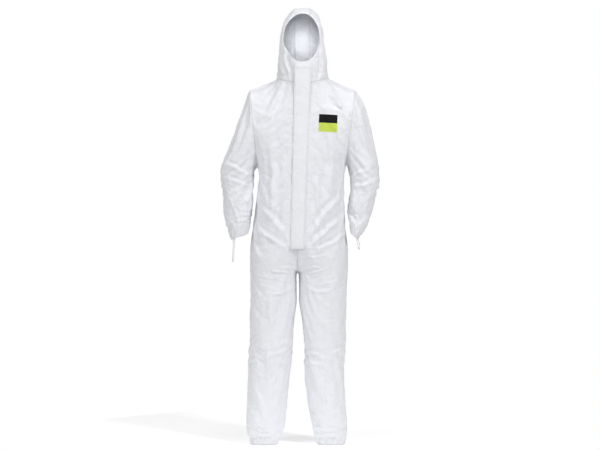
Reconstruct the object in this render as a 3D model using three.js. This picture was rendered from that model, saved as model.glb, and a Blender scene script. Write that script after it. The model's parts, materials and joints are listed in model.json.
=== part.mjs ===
// Hooded protective coverall, upright and closed, as it hangs round a wearer who isn't there.
// Millimetres, +Z up, the front faces -Y, +X is the wearer's left.
// Origin: middle of the neck base, where the suit hangs on the wearer's shoulders.
import * as THREE from 'three';
import { mergeVertices } from 'three/addons/utils/BufferGeometryUtils.js';

// ---------------------------------------------------------------- driving dimensions
const WALL = 2.0; // every fabric wall, thicker than the real laminate so that it is a solid
const GAP = 0.8; // between two walls that are sewn together
const ZIP_TOP = 66;
const ZIP_BOTTOM = -667;
const ZIP_X_TOP = 12;
const ZIP_X_BOTTOM = -10; // the closed front leans a little, so the zip does too
const ZIP_Y_TOP = -112;
const ZIP_Y_BOTTOM = -120;
const ZIP_HALF_WIDTH = 11.3; // from the zip's middle to the fabric's edge
const CROTCH = -756;
const ANKLE_HEM = -1420;
const FLOOR_END = -1451;
const HOOD_SPLIT = 108; // below it the hood's fabric creases when the hood is pushed back
const HOOD_TOP = 299;
const ARMHOLE_HALF_DEPTH = 92;
const HIP_ZONE_END = -897;
const KNEE_ZONE = [-990, -1160];
const SECTION = 2.6; // exponent of the body's rounded sections
const LEG_SECTION = 2.3;
const FLAP_WIDTH_TOP = 64;
const FLAP_WIDTH_BOTTOM = 56;

// ---------------------------------------------------------------- small tools
const V = (x, y, z) => new THREE.Vector3(x, y, z);
const lerp = (a, b, t) => a + (b - a) * t;
const clamp = (t) => Math.min(1, Math.max(0, t));
const ease = (t) => {
  const c = clamp(t);
  return c * c * (3 - 2 * c);
};
// rows of [position, value], falling positions; linear between rows
function along(rows, z) {
  if (z >= rows[0][0]) return rows[0][1];
  for (let i = 1; i < rows.length; i++)
    if (z >= rows[i][0]) {
      const [a, va] = rows[i - 1];
      const [b, vb] = rows[i];
      return lerp(va, vb, (a - z) / (a - b));
    }
  return rows[rows.length - 1][1];
}

function signedVolume(g) {
  const p = g.attributes.position;
  const i = g.index;
  const a = V(0, 0, 0);
  const b = V(0, 0, 0);
  const c = V(0, 0, 0);
  let sum = 0;
  for (let k = 0; k < i.count; k += 3) {
    a.fromBufferAttribute(p, i.getX(k));
    b.fromBufferAttribute(p, i.getX(k + 1));
    c.fromBufferAttribute(p, i.getX(k + 2));
    sum += a.dot(b.cross(c)) / 6;
  }
  return sum;
}

function finish(g) {
  g.deleteAttribute('normal');
  g.deleteAttribute('uv');
  g = mergeVertices(g, 1e-3);
  if (signedVolume(g) < 0) {
    const a = g.index.array;
    for (let k = 0; k < a.length; k += 3) [a[k + 1], a[k + 2]] = [a[k + 2], a[k + 1]];
  }
  g.computeVertexNormals();
  return g;
}

// the surface's unit normal, pointing away from inside(point)
function outward(P, u, v, inside) {
  const e = 0.004;
  const u0 = Math.max(0, u - e);
  const u1 = Math.min(1, u + e);
  const v0 = Math.max(0, v - e);
  const v1 = Math.min(1, v + e);
  const du = P(u1, v).sub(P(u0, v));
  const dv = P(u, v1).sub(P(u, v0));
  const n = du.cross(dv).normalize();
  const q = P(u, v);
  if (n.dot(q.clone().sub(inside(q))) < 0) n.negate();
  return n;
}

// a panel of even thickness whose outer face is the surface P(u, v)
function panel(nu, nv, P, inside, wall = WALL, lift = 0) {
  const g = new THREE.BoxGeometry(1, 1, 1, nu, nv, 1);
  const p = g.attributes.position;
  // the inner face's squares are split along the same diagonals as the outer face's
  const ids = g.index;
  const { start, count } = g.groups[5];
  for (let i = start; i < start + count; i += 6) {
    const [a, b, d, c] = [ids.getX(i), ids.getX(i + 1), ids.getX(i + 2), ids.getX(i + 4)];
    [a, b, c, a, c, d].forEach((n, k) => ids.setX(i + k, n));
  }
  for (let i = 0; i < p.count; i++) {
    const u = clamp(p.getX(i) + 0.5);
    const v = clamp(0.5 - p.getY(i));
    const outer = p.getZ(i) > 0;
    const q = P(u, v).addScaledVector(outward(P, u, v, inside), lift + (outer ? 0 : -wall));
    p.setXYZ(i, q.x, q.y, q.z);
  }
  return finish(g);
}

// a tube of even thickness whose outer face is P(a, v), a going round from 0 to 1
function tube(nr, nv, P, inside, wall = WALL, lift = 0) {
  const outline = [];
  for (let j = 0; j <= nv; j++) outline.push(new THREE.Vector2(2, j / nv));
  for (let j = nv; j >= 0; j--) outline.push(new THREE.Vector2(1, j / nv));
  outline.push(new THREE.Vector2(2, 0));
  const g = new THREE.LatheGeometry(outline, nr);
  const p = g.attributes.position;
  const round = (a, v) => P(((a % 1) + 1) % 1, v);
  for (let i = 0; i < p.count; i++) {
    const x = p.getX(i);
    const z = p.getZ(i);
    const v = clamp(p.getY(i));
    let a = Math.atan2(x, z) / (2 * Math.PI);
    if (a < 0) a += 1;
    a = Math.round(a * nr) / nr;
    const outer = Math.hypot(x, z) > 1.5;
    const e = 0.004;
    const q = round(a, v);
    const du = round(a + e, v).sub(round(a - e, v));
    const dv = P(a % 1, Math.min(1, v + e)).sub(P(a % 1, Math.max(0, v - e)));
    const n = du.cross(dv).normalize();
    if (n.dot(q.clone().sub(inside(q, v))) < 0) n.negate();
    q.addScaledVector(n, lift + (outer ? 0 : -wall));
    p.setXYZ(i, q.x, q.y, q.z);
  }
  return finish(g);
}

const suit = new THREE.Group();
function add(name, geometry, color, roughness = 0.85) {
  const mesh = new THREE.Mesh(
    geometry,
    new THREE.MeshStandardMaterial({ color, roughness, metalness: 0 }),
  );
  mesh.name = name;
  suit.add(mesh);
  return mesh;
}
const WHITE = 0xeeeff3;
const HEM = 0xe4e6ec;

// ---------------------------------------------------------------- body outline
const zipX = (z) =>
  lerp(ZIP_X_TOP, ZIP_X_BOTTOM, clamp((ZIP_TOP - z) / (ZIP_TOP - ZIP_BOTTOM)));
const zipY = (z) =>
  lerp(ZIP_Y_TOP, ZIP_Y_BOTTOM, clamp((ZIP_TOP - z) / (ZIP_TOP - ZIP_BOTTOM)));

const SIDE = {
  left: {
    sign: 1,
    neck: [113, 12],
    tip: [222, -34],
    armpit: [184, -322],
    edge: [[-322, 184], [-374, 173], [-454, 173], [-494, 177], [-575, 181], [-635, 189], [-675, 193], [-756, 193]],
    outer: [[-756, 193], [-816, 189], [-957, 185], [-1037, 185], [-1097, 181], [-1138, 177], [-1198, 177], [-1278, 181], [-1359, 189], [-1419, 189], [-1439, 185], [-1451, 181]],
    inner: [[-756, -9.2], [-816, -4], [-876, -4], [-957, 8], [-1037, 16], [-1097, 20], [-1198, 20], [-1278, 32], [-1359, 44], [-1399, 52], [-1419, 56], [-1439, 64], [-1451, 68]],
  },
  right: {
    sign: -1,
    neck: [-92, 8],
    tip: [-203, -32],
    armpit: [-172, -322],
    edge: [[-322, -172], [-374, -163], [-454, -173], [-494, -177], [-575, -187], [-635, -197], [-675, -201], [-756, -201]],
    outer: [[-756, -201], [-876, -199], [-957, -201], [-1037, -201], [-1097, -205], [-1138, -209], [-1198, -209], [-1278, -213], [-1359, -217], [-1399, -213], [-1419, -209], [-1439, -203], [-1451, -199]],
    inner: [[-756, -10.8], [-876, -12], [-957, -24], [-1037, -28], [-1097, -32], [-1138, -36], [-1198, -44], [-1278, -52], [-1359, -60], [-1399, -68], [-1419, -72], [-1439, -84], [-1451, -88]],
  },
};
const BACK_DEPTH = [[10, 100], [-178, 126], [-330, 122], [-450, 108], [-560, 120], [-640, 128], [-700, 120], [-756, 104]];
const FRONT_DEPTH_LOW = [[ZIP_BOTTOM, 120], [-700, 114], [-756, 98]];
const halfDepth = (front, z) =>
  front ? (z > ZIP_BOTTOM ? -zipY(z) : along(FRONT_DEPTH_LOW, z)) : along(BACK_DEPTH, z);

// one quarter of the body, from the middle seam (s = 0) to the side (s = 1); v from the shoulder down to the crotch
function quarter(side, front, middle) {
  const S = SIDE[side];
  const f = front ? -1 : 1;
  const [tipX, tipZ] = S.tip;
  const [pitX, pitZ] = S.armpit;
  const z0 = (tipZ + pitZ) / 2;
  const H = (tipZ - pitZ) / 2;
  const D0 = ARMHOLE_HALF_DEPTH;
  const edgeX = (z) => (z > pitZ ? lerp(pitX, tipX, (z - pitZ) / (tipZ - pitZ)) : along(S.edge, z));
  const start = (z) => zipX(z) + S.sign * middle(z);
  function at(s, z) {
    const b = halfDepth(front, z);
    const xc = zipX(z);
    const x1 = edgeX(z);
    const x = lerp(start(z), x1, 1 - (1 - s) * (1 - s));
    let reach = Math.abs(x1 - xc);
    if (z > pitZ) {
      const d = D0 * Math.sqrt(Math.max(0, 1 - ((z - z0) / H) ** 2));
      reach /= Math.pow(1 - Math.pow(d / b, SECTION), 1 / SECTION);
    }
    let y = b * Math.pow(Math.max(0, 1 - Math.pow(Math.abs(x - xc) / reach, SECTION)), 1 / SECTION);
    const w = ease((-640 - z) / (-640 - CROTCH));
    if (w > 0) {
      const lo = along(S.inner, z);
      const hi = along(S.outer, z);
      const c = (lo + hi) / 2;
      const h = Math.abs(hi - lo) / 2;
      const r = b * Math.pow(Math.max(0, 1 - Math.pow(Math.min(1, Math.abs(x - c) / h), LEG_SECTION)), 1 / LEG_SECTION);
      const q = 58 * Math.pow(1 - clamp(Math.abs(x - xc) / Math.abs(x1 - xc)), 0.6);
      y = lerp(y, Math.pow(r ** 4 + q ** 4, 0.25), w);
    }
    return V(x, f * (y + GAP / 2), z);
  }
  const neckHalf = Math.abs(S.neck[0] - zipX(0));
  const neckDepth = front ? -zipY(0) - 1 : 92;
  const neckLow = front ? -14 : 4;
  function top(s) {
    const sN = 0.5;
    if (s < sN) {
      const a0 = Math.asin(middle(0) / neckHalf);
      const a = lerp(a0, Math.PI / 2, s / sN);
      return V(
        zipX(0) + S.sign * neckHalf * Math.sin(a),
        f * (neckDepth * Math.cos(a) + GAP / 2),
        lerp(neckLow, S.neck[1], Math.sin(a) ** 2),
      );
    }
    const t = (s - sN) / (1 - sN);
    return V(lerp(S.neck[0], tipX, t), (f * GAP) / 2, lerp(S.neck[1], tipZ, t));
  }
  const VA = 0.34;
  function P(s, v) {
    if (v >= VA) return at(s, lerp(z0, CROTCH, (v - VA) / (1 - VA)));
    const a = ((v / VA) * Math.PI) / 2;
    const m = lerp(1.25, 2, clamp(s / 0.5));
    const T = top(s);
    const C = at(s, z0);
    const up = Math.pow(Math.max(0, Math.cos(a)), 2 / m);
    const out = Math.pow(Math.max(0, Math.sin(a)), 2 / m);
    return V(lerp(C.x, T.x, up), lerp(T.y, C.y, out), lerp(C.z, T.z, up));
  }
  return { P, at, VA, z0 };
}
const inBody = (q) => V(lerp(q.x, zipX(q.z), 0.5), 0, Math.min(q.z, -90));

const zipOpen = (z) => lerp(ZIP_HALF_WIDTH, GAP / 2, ease((ZIP_BOTTOM - 4 - z) / 16));
const frontMiddle = (z) => zipOpen(z);
const backMiddle = () => GAP / 2;
const Q = {
  frontLeft: quarter('left', true, frontMiddle),
  frontRight: quarter('right', true, frontMiddle),
  backLeft: quarter('left', false, backMiddle),
  backRight: quarter('right', false, backMiddle),
};
add('front_panel_left', panel(7, 12, Q.frontLeft.P, inBody), WHITE);
add('front_panel_right', panel(7, 12, Q.frontRight.P, inBody), WHITE);
add('back_panel_left', panel(7, 13, Q.backLeft.P, inBody), WHITE);
add('back_panel_right', panel(7, 13, Q.backRight.P, inBody), WHITE);

// crotch gusset: the saddle that closes the body between the legs
{
  const g = new THREE.BoxGeometry(40, 106, 1.8, 2, 4, 1);
  g.translate(ZIP_X_BOTTOM, 1, CROTCH + 2.4);
  add('crotch_gusset', finish(g), WHITE);
}

// waist elastic: a band sewn inside the back
{
  const half = 118;
  const P = (u, v) => {
    const z = lerp(-448, -462, v);
    const x = lerp(-half, half, u);
    const side = x < zipX(z) ? Q.backRight : Q.backLeft;
    const S = x < zipX(z) ? SIDE.right : SIDE.left;
    const reach = Math.abs(along(S.edge, z) - zipX(z));
    const b = halfDepth(false, z);
    void side;
    return V(x, b * Math.pow(1 - Math.pow(Math.abs(x - zipX(z)) / reach, SECTION), 1 / SECTION) - WALL - 1.6, z);
  };
  add('waist_elastic', panel(10, 1, P, (q) => V(q.x, 0, q.z), 1.4), HEM);
}

// ---------------------------------------------------------------- legs
const LEG_DEPTH = [[-756, 98], [-876, 96], [-1000, 92], [-1073, 90], [-1200, 84], [-1359, 80], [-1405, 74], [-1419, 66], [-1451, 56]];
function legPoint(side, angle, z) {
  const S = SIDE[side];
  const lo = along(S.inner, z);
  const hi = along(S.outer, z);
  const c = (lo + hi) / 2;
  const h = Math.abs(hi - lo) / 2;
  const b = along(LEG_DEPTH, z);
  const ca = Math.cos(angle);
  const sa = Math.sin(angle);
  return V(
    c + h * Math.sign(ca) * Math.pow(Math.abs(ca), 2 / LEG_SECTION),
    b * Math.sign(sa) * Math.pow(Math.abs(sa), 2 / LEG_SECTION),
    z,
  );
}
const inLeg = (side) => (q) => V((along(SIDE[side].inner, q.z) + along(SIDE[side].outer, q.z)) / 2, 0, q.z);
function legTube(side, zHigh, zLow, nv, nr = 16, wall = WALL) {
  const P = (a, v) => legPoint(side, a * 2 * Math.PI, lerp(zHigh, zLow, v));
  return tube(nr, nv, P, inLeg(side), wall);
}
// half of a leg, from the inner seam to the outer seam
function legHalf(side, front, zHigh, zLow, nv, nu = 7) {
  const P = (u, v) => {
    const t = lerp(0, Math.PI, u);
    const q = legPoint(side, front ? -t : t, lerp(zHigh, zLow, v));
    q.y += ((front ? -1 : 1) * GAP) / 2;
    return q;
  };
  return panel(nu, nv, P, inLeg(side));
}
for (const side of ['left', 'right']) {
  add(`hip_fabric_${side}`, legTube(side, CROTCH - GAP, HIP_ZONE_END, 5), WHITE);
  add(`leg_thigh_front_${side}`, legHalf(side, true, HIP_ZONE_END - GAP, KNEE_ZONE[0], 1), WHITE);
  add(`leg_thigh_back_${side}`, legHalf(side, false, HIP_ZONE_END - GAP, KNEE_ZONE[0], 1), WHITE);
  add(`knee_fabric_${side}`, legTube(side, KNEE_ZONE[0] - GAP, KNEE_ZONE[1], 5), WHITE);
  add(`leg_shin_front_${side}`, legHalf(side, true, KNEE_ZONE[1] - GAP, ANKLE_HEM, 6), WHITE);
  add(`leg_shin_back_${side}`, legHalf(side, false, KNEE_ZONE[1] - GAP, ANKLE_HEM, 6), WHITE);
  const ankle = legTube(side, ANKLE_HEM - GAP, FLOOR_END, 2, 16, 3);
  const p = ankle.attributes.position;
  for (let i = 0; i < p.count; i++) if (p.getZ(i) < FLOOR_END + 3) p.setZ(i, FLOOR_END); // the hem ends level
  add(`ankle_elastic_${side}`, ankle, HEM);
}

// ---------------------------------------------------------------- sleeves
// rings of [inner x, inner z, outer x, outer z, half depth, centre y]
const RINGS = {
  right: [
    [-172, -322, -203, -32, 92, 0],
    [-172.8, -326, -217, -72, 90, 0],
    [-172.8, -330, -241, -133, 86, 0],
    [-173.3, -334, -269, -201, 80, 0],
    [-173.7, -340, -293, -265, 75, 0],
    [-177, -356, -315.5, -317, 71, -2],
    [-181.7, -382, -321.6, -362, 69, -4],
    [-183.3, -406, -318.4, -398, 67, -6],
    [-183.3, -430, -312.4, -430, 65, -8],
    [-184, -466, -308, -470, 62, -11],
    [-185.5, -498.5, -304.7, -510.5, 58, -14],
    [-189.5, -534.7, -299, -550.7, 54, -17],
    [-194.5, -574.9, -290.2, -595, 48, -20],
    [-201, -597, -281.4, -621, 41, -22],
    [-203.8, -609, -275.4, -635, 37, -23],
  ],
  left: [
    [184, -322, 222, -34, 92, 0],
    [185.5, -327.6, 253.3, -72, 90, 0],
    [187, -333.7, 270, -120.6, 86, 0],
    [189, -339.7, 287.4, -189, 80, 0],
    [191.5, -345.7, 301.5, -257.3, 75, 0],
    [197, -365.8, 313.6, -313.6, 71, -2],
    [201, -390, 317.6, -353.8, 69, -4],
    [201, -410, 317.6, -390, 67, -6],
    [199.4, -432, 314.8, -426, 65, -8],
    [193.5, -466.3, 300.5, -470.3, 61, -11],
    [189, -499.5, 288, -511, 56, -14],
    [189.5, -533, 275.5, -553, 51, -18],
    [192, -560, 260, -588, 46, -22],
    [195.5, -585, 246, -613, 42, -25],
    [199, -607, 229, -634, 39, -27],
  ],
};
// point on the sleeve at ring position r (0 .. 14)
function sleevePoint(side, a, r) {
  const R = RINGS[side];
  const i = Math.min(R.length - 2, Math.max(0, Math.floor(r)));
  const t = r - i;
  const k = R[i].map((v, j) => lerp(v, R[i + 1][j], t));
  const [ix, iz, ox, oz, d, cy] = k;
  const c = Math.cos(a * 2 * Math.PI);
  const s = Math.sin(a * 2 * Math.PI);
  return V((ix + ox) / 2 + ((ox - ix) / 2) * c, cy + d * s, (iz + oz) / 2 + ((oz - iz) / 2) * c);
}
function sleeveCentre(side, r) {
  return sleevePoint(side, 0, r).add(sleevePoint(side, 0.5, r)).multiplyScalar(0.5);
}
function sleeveTube(side, r0, r1, nv, nr = 16, wall = WALL) {
  const P = (a, v) => sleevePoint(side, a, lerp(r0, r1, v));
  return tube(nr, nv, P, (q, v) => sleeveCentre(side, lerp(r0, r1, v)), wall);
}
const RING_GAP = 0.03;
const SLEEVE_OUT = 2.6; // the sleeve stands this far off the armhole
for (const side of ['left', 'right']) {
  const sign = SIDE[side].sign;
  const shoulder = sleeveTube(side, 0, 4, 4, 18);
  shoulder.translate(sign * SLEEVE_OUT, 0, 0);
  add(`shoulder_fabric_${side}`, shoulder, WHITE);
  add(`sleeve_upper_${side}`, sleeveTube(side, 4 + 2.5 * RING_GAP, 5, 2), WHITE).position.x = sign * SLEEVE_OUT;
  add(`elbow_fabric_${side}`, sleeveTube(side, 5 + 2 * RING_GAP, 9, 4), WHITE).position.x = sign * SLEEVE_OUT;
  add(`sleeve_forearm_${side}`, sleeveTube(side, 9 + RING_GAP, 13, 4), WHITE).position.x = sign * SLEEVE_OUT;
  add(`cuff_elastic_${side}`, sleeveTube(side, 13 + 2 * RING_GAP, 14, 1, 16, 3), HEM).position.x = sign * SLEEVE_OUT;
}

// finger loops: thin elastic cord, both ends in the cuff's hem
function cord(points, radius, steps) {
  const curve = new THREE.CatmullRomCurve3(points, false, 'centripetal');
  const disc = new THREE.Shape();
  disc.absarc(0, 0, radius, 0, 2 * Math.PI, false);
  return finish(
    new THREE.ExtrudeGeometry(disc, { steps, extrudePath: curve, curveSegments: 8, bevelEnabled: false }),
  );
}
const LOOP_RADIUS = 1.3;
const LOOPS = {
  right: [
    V(-268, -22, -637.5), V(-267, -22, -650), V(-268.5, -23, -675), V(-269.5, -24, -700),
    V(-270.5, -25, -716), V(-268.5, -27, -721.5), V(-266.2, -29, -716), V(-265, -31, -700),
    V(-263.5, -33, -675), V(-261.5, -34.5, -650), V(-261, -35, -637.5),
  ],
  left: [
    V(228.4, -20, -637.5), V(230.9, -20, -648), V(233.4, -22, -661), V(234.4, -24, -669),
    V(235.9, -28, -673), V(237.9, -31, -667), V(238.4, -33, -654), V(235.4, -34.5, -642), V(232.4, -35, -636.5),
  ],
};
for (const side of ['left', 'right'])
  add(`finger_loop_${side}`, cord(LOOPS[side], LOOP_RADIUS, 22), 0xf2f2f4);

// ---------------------------------------------------------------- hood
const HOOD_MID = [[300, 10], [169, 7], [28, 10], [-20, 10]]; // middle of each level, x
const hoodX = (z) => along(HOOD_MID, z);
const SHOULDER_Z = 169;
const round = (z) => Math.pow(Math.max(0, 1 - Math.pow(clamp((z - SHOULDER_Z) / (HOOD_TOP - SHOULDER_Z)), 2.4)), 1 / 2.4);
const hoodHalf = (z) => (z > SHOULDER_Z ? 90 * round(z) : along([[169, 90], [108, 96], [68, 100], [28, 102], [-20, 103]], z));
const hoodFront = (z) => (z > SHOULDER_Z ? 118 * round(z) : along([[169, 118], [66, 112], [-20, 113]], z));
const hoodBack = (z) => (z > SHOULDER_Z ? 136 * round(z) : along([[169, 136], [108, 128], [50, 106], [6, 94], [-20, 92]], z));
const HOOD_SECTION = 2.2;
const hoodY = (front, d, z) => {
  const b = front ? hoodFront(z) : hoodBack(z);
  return (front ? -1 : 1) * b * Math.pow(Math.max(0, 1 - Math.pow(Math.min(1, Math.abs(d) / Math.max(1e-6, hoodHalf(z))), HOOD_SECTION)), 1 / HOOD_SECTION);
};
// half width of the face opening, egg shaped
const FACE_TOP = 262;
const FACE_BOTTOM = 70;
const faceHalf = (z) => {
  const mid = 160;
  const t = z > mid ? (z - mid) / (FACE_TOP - mid) : (mid - z) / (mid - FACE_BOTTOM);
  return 72 * Math.sqrt(Math.max(0, 1 - Math.pow(Math.min(1, Math.abs(t)), z > mid ? 2 : 1.7)));
};
const STRIP = 32; // half width of the middle hood panel
const inHood = (q) => V(hoodX(q.z), 5, Math.min(q.z, 150));
const TOP_SIDE = 294;
// highest level that is still d wide
function levelOf(d) {
  let lo = SHOULDER_Z;
  let hi = HOOD_TOP;
  for (let i = 0; i < 40; i++) {
    const m = (lo + hi) / 2;
    if (hoodHalf(m) > d) lo = m;
    else hi = m;
  }
  return lo;
}
function hoodSide(side, zLow, zHigh, nu, nv) {
  const sign = SIDE[side].sign;
  const P = (u, v) => {
    const k = Math.sin((v * Math.PI) / 2);
    const z = lerp(zLow, zHigh, zHigh > 200 ? k : v);
    const h = hoodHalf(z);
    const dFront = Math.min(h * 0.999, z < FACE_TOP ? Math.max(z > 200 ? STRIP + GAP : ZIP_HALF_WIDTH + 2, faceHalf(z) + 3) : STRIP + GAP);
    const dBack = Math.min(h * 0.999, STRIP + GAP);
    const af = Math.asin(Math.min(1, Math.pow(dFront / h, HOOD_SECTION / 2)));
    const ab = Math.PI - Math.asin(Math.min(1, Math.pow(dBack / h, HOOD_SECTION / 2)));
    const a = lerp(af, ab, u);
    const d = h * Math.pow(Math.abs(Math.sin(a)), 2 / HOOD_SECTION);
    const b = a < Math.PI / 2 ? -hoodFront(z) : hoodBack(z);
    const y = b * Math.pow(Math.abs(Math.cos(a)), 2 / HOOD_SECTION);
    return V(hoodX(z) + sign * d, y, z);
  };
  return panel(nu, nv, P, inHood);
}
add('hood_panel_left', hoodSide('left', HOOD_SPLIT + GAP, TOP_SIDE, 8, 7), WHITE);
add('hood_panel_right', hoodSide('right', HOOD_SPLIT + GAP, TOP_SIDE, 8, 7), WHITE);
{
  // middle hood panel, from the forehead over the crown and down the back
  const P = (u, v) => {
    const d = lerp(-STRIP, STRIP, u);
    const crown = levelOf(Math.abs(d) + 0.01);
    const frontShare = 0.24;
    const low = 200;
    let z;
    let front = false;
    if (v < frontShare) {
      const t = v / frontShare;
      const z1 = FACE_TOP - 1 - 4 * Math.pow(Math.abs(d) / STRIP, 2);
      z = lerp(z1, crown, Math.sin((t * Math.PI) / 2));
      front = true;
    } else {
      const t = (v - frontShare) / (1 - frontShare);
      z = t < 0.5 ? lerp(low, crown, Math.cos(t * Math.PI)) : lerp(low, HOOD_SPLIT + GAP, (t - 0.5) / 0.5);
    }
    return V(hoodX(z) + d, hoodY(front, d, z), z);
  };
  add('hood_panel_centre', panel(4, 14, P, inHood), WHITE);
}
{
  // lower hood, open at the zip in front; one wall round the neck
  const P = (u, v) => {
    const tau = lerp(0.035, 0.965, u) * 2 * Math.PI; // 0 and 1 at the front
    const s = Math.sin(tau);
    const c = Math.cos(tau);
    const sign = s > 0 ? -1 : 1;
    // the foot follows the neckline, and the head of it is level but for the dip under the chin
    const side = sign > 0 ? 'left' : 'right';
    const foot = lerp(c > 0 ? -14 : 4, SIDE[side].neck[1], Math.abs(s) ** 2) + GAP;
    const chin = FACE_BOTTOM - 5;
    const open = Math.abs(s) < 0.62 && c > 0 ? lerp(chin, HOOD_SPLIT, ease(Math.abs(s) / 0.62)) : HOOD_SPLIT;
    const z = lerp(foot, open, v);
    const h = lerp(Math.abs(SIDE[side].neck[0] - hoodX(z)), hoodHalf(z), ease((z - foot) / 60));
    const b = c > 0 ? hoodFront(z) : hoodBack(z);
    const p = 2 / HOOD_SECTION;
    return V(hoodX(z) + sign * h * Math.pow(Math.abs(s), p), (c > 0 ? -1 : 1) * b * Math.pow(Math.abs(c), p), z);
  };
  add('hood_neck_fabric', panel(20, 3, P, (q) => V(hoodX(q.z), 0, q.z)), WHITE);
}
{
  // elastic in the hem round the face, set just inside the hood's edge
  const P = (a, v) => {
    const t = a * 2 * Math.PI;
    const w = lerp(7, 12.5, v);
    const up = Math.cos(t) > 0;
    const x = hoodX(160) + (72 - w) * Math.sin(t);
    const z = 160 + (up ? FACE_TOP - 160 - w : 160 - FACE_BOTTOM - w) * Math.cos(t);
    // the hem lies on the hood's own front curve
    return V(x, hoodY(true, x - hoodX(z), Math.min(z, 240)) * 0.97, z);
  };
  add('hood_face_elastic', tube(22, 1, P, (q) => V(q.x, 60, q.z), 2), HEM);
}

// ---------------------------------------------------------------- zip
function zipStrip(x0, x1, y0, y1, zHigh, zLow) {
  // a straight strip beside the zip line, x and y measured from the line
  const g = new THREE.BoxGeometry(1, 1, 1, 1, 1, 1);
  const p = g.attributes.position;
  for (let i = 0; i < p.count; i++) {
    const z = p.getZ(i) > 0 ? zHigh : zLow;
    p.setXYZ(
      i,
      zipX(z) + (p.getX(i) > 0 ? x1 : x0),
      zipY(z) + (p.getY(i) > 0 ? y1 : y0),
      z,
    );
  }
  return finish(g);
}
const TAPE_OUT = ZIP_HALF_WIDTH - GAP;
for (const side of ['left', 'right']) {
  const s = SIDE[side].sign;
  const tape = s > 0 ? [3.6, TAPE_OUT] : [-TAPE_OUT, -3.6];
  const teeth = s > 0 ? [0.3, 3.2] : [-3.2, -0.3];
  add(`zip_tape_${side}`, zipStrip(tape[0], tape[1], 0.4, 1.4, ZIP_TOP - 4, ZIP_BOTTOM + 2), 0xe9eaee);
  add(`zip_teeth_${side}`, zipStrip(teeth[0], teeth[1], -0.6, 2.4, ZIP_TOP - 8, ZIP_BOTTOM + 10), 0xf4f4f6);
}
add('zip_bottom_stop', zipStrip(-3.4, 3.4, -1, 2.8, ZIP_BOTTOM + 9.4, ZIP_BOTTOM + 3), 0xdedfe4);
add('zip_top_stop_left', zipStrip(0.4, 3.3, -1, 2.8, ZIP_TOP - 4.2, ZIP_TOP - 7.4), 0xdedfe4);
add('zip_top_stop_right', zipStrip(-3.3, -0.4, -1, 2.8, ZIP_TOP - 4.2, ZIP_TOP - 7.4), 0xdedfe4);
// slider: body in front of the teeth with a bridge for the pull
const SLIDER_Z = 46;
{
  const outline = new THREE.Shape();
  outline.moveTo(-3.2, -6);
  outline.lineTo(3.2, -6);
  outline.lineTo(4.8, 5);
  outline.lineTo(2.5, 6.5);
  outline.lineTo(-2.5, 6.5);
  outline.lineTo(-4.8, 5);
  outline.closePath();
  const g = new THREE.ExtrudeGeometry(outline, { depth: 2.2, bevelEnabled: false });
  g.rotateX(Math.PI / 2); // outline's y up, its depth towards -Y
  g.translate(zipX(SLIDER_Z), zipY(SLIDER_Z) - 1.1, SLIDER_Z);
  add('zip_slider', finish(g), 0xe8e8ec, 0.35);
}
{
  const outline = new THREE.Shape();
  outline.moveTo(-1.6, 1.5);
  outline.lineTo(1.6, 1.5);
  outline.lineTo(3.1, -20);
  outline.lineTo(2.2, -23);
  outline.lineTo(-2.2, -23);
  outline.lineTo(-3.1, -20);
  outline.closePath();
  const g = new THREE.ExtrudeGeometry(outline, { depth: 1.2, bevelEnabled: false });
  g.rotateX(Math.PI / 2);
  g.translate(zipX(SLIDER_Z), zipY(SLIDER_Z) - 3.8, SLIDER_Z);
  add('zip_pull_tab', finish(g), 0xeeeeF2, 0.4);
}

// ---------------------------------------------------------------- storm flap, sewn on the wearer's left of the zip
const FLAP_TOP = 68;
const FLAP_BOTTOM = -668;
const flapSewn = (z) => zipX(z) + lerp(FLAP_WIDTH_BOTTOM, FLAP_WIDTH_TOP, clamp((z - FLAP_BOTTOM) / (FLAP_TOP - FLAP_BOTTOM))) / 2;
const flapFree = (z) => zipX(z) - lerp(FLAP_WIDTH_BOTTOM, FLAP_WIDTH_TOP, clamp((z - FLAP_BOTTOM) / (FLAP_TOP - FLAP_BOTTOM))) / 2;
{
  const P = (u, v) => {
    const z = lerp(FLAP_TOP, FLAP_BOTTOM, v);
    const x = lerp(flapFree(z), flapSewn(z), u);
    return V(x, zipY(z) - 8.4 + 3.2 * Math.pow(Math.abs(2 * u - 1), 2), z);
  };
  add('storm_flap', panel(6, 8, P, (q) => V(q.x, 0, q.z), 1.4), WHITE);
}
{
  // double-sided closing tape on the panel under the flap's free edge
  const P = (u, v) => {
    const z = lerp(FLAP_TOP - 96, FLAP_BOTTOM + 10, v);
    const x = lerp(flapFree(z) + 2, flapFree(z) + 13, u);
    return V(x, zipY(z) - 1.7, z);
  };
  add('flap_adhesive_tape', panel(1, 6, P, (q) => V(q.x, 0, q.z), 0.8), 0xf6f3ea);
}

// ---------------------------------------------------------------- chest label
{
  const cx = 110.5;
  const cz = -173;
  const w = 77;
  const h = 72;
  const g = new THREE.BoxGeometry(w, 1, h);
  const at = (x, z) => {
    const reach = Math.abs(SIDE.left.edge[0][1] - zipX(z)) * 1.35;
    return -halfDepth(true, z) * Math.pow(1 - Math.pow(Math.abs(x - zipX(z)) / reach, SECTION), 1 / SECTION);
  };
  const slope = Math.atan2(at(cx + 38, cz) - at(cx - 38, cz), 76);
  g.rotateY((2.5 * Math.PI) / 180);
  g.rotateZ(slope);
  g.translate(cx, at(cx, cz) - 6, cz);
  add('chest_label', finish(g), 0x9aa63c, 0.6);
}

export default suit;
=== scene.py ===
# Hooded protective coverall: the visual model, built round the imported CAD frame.
import math, json
import bpy, bmesh
import numpy as np
from mathutils import Vector, Matrix

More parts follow.
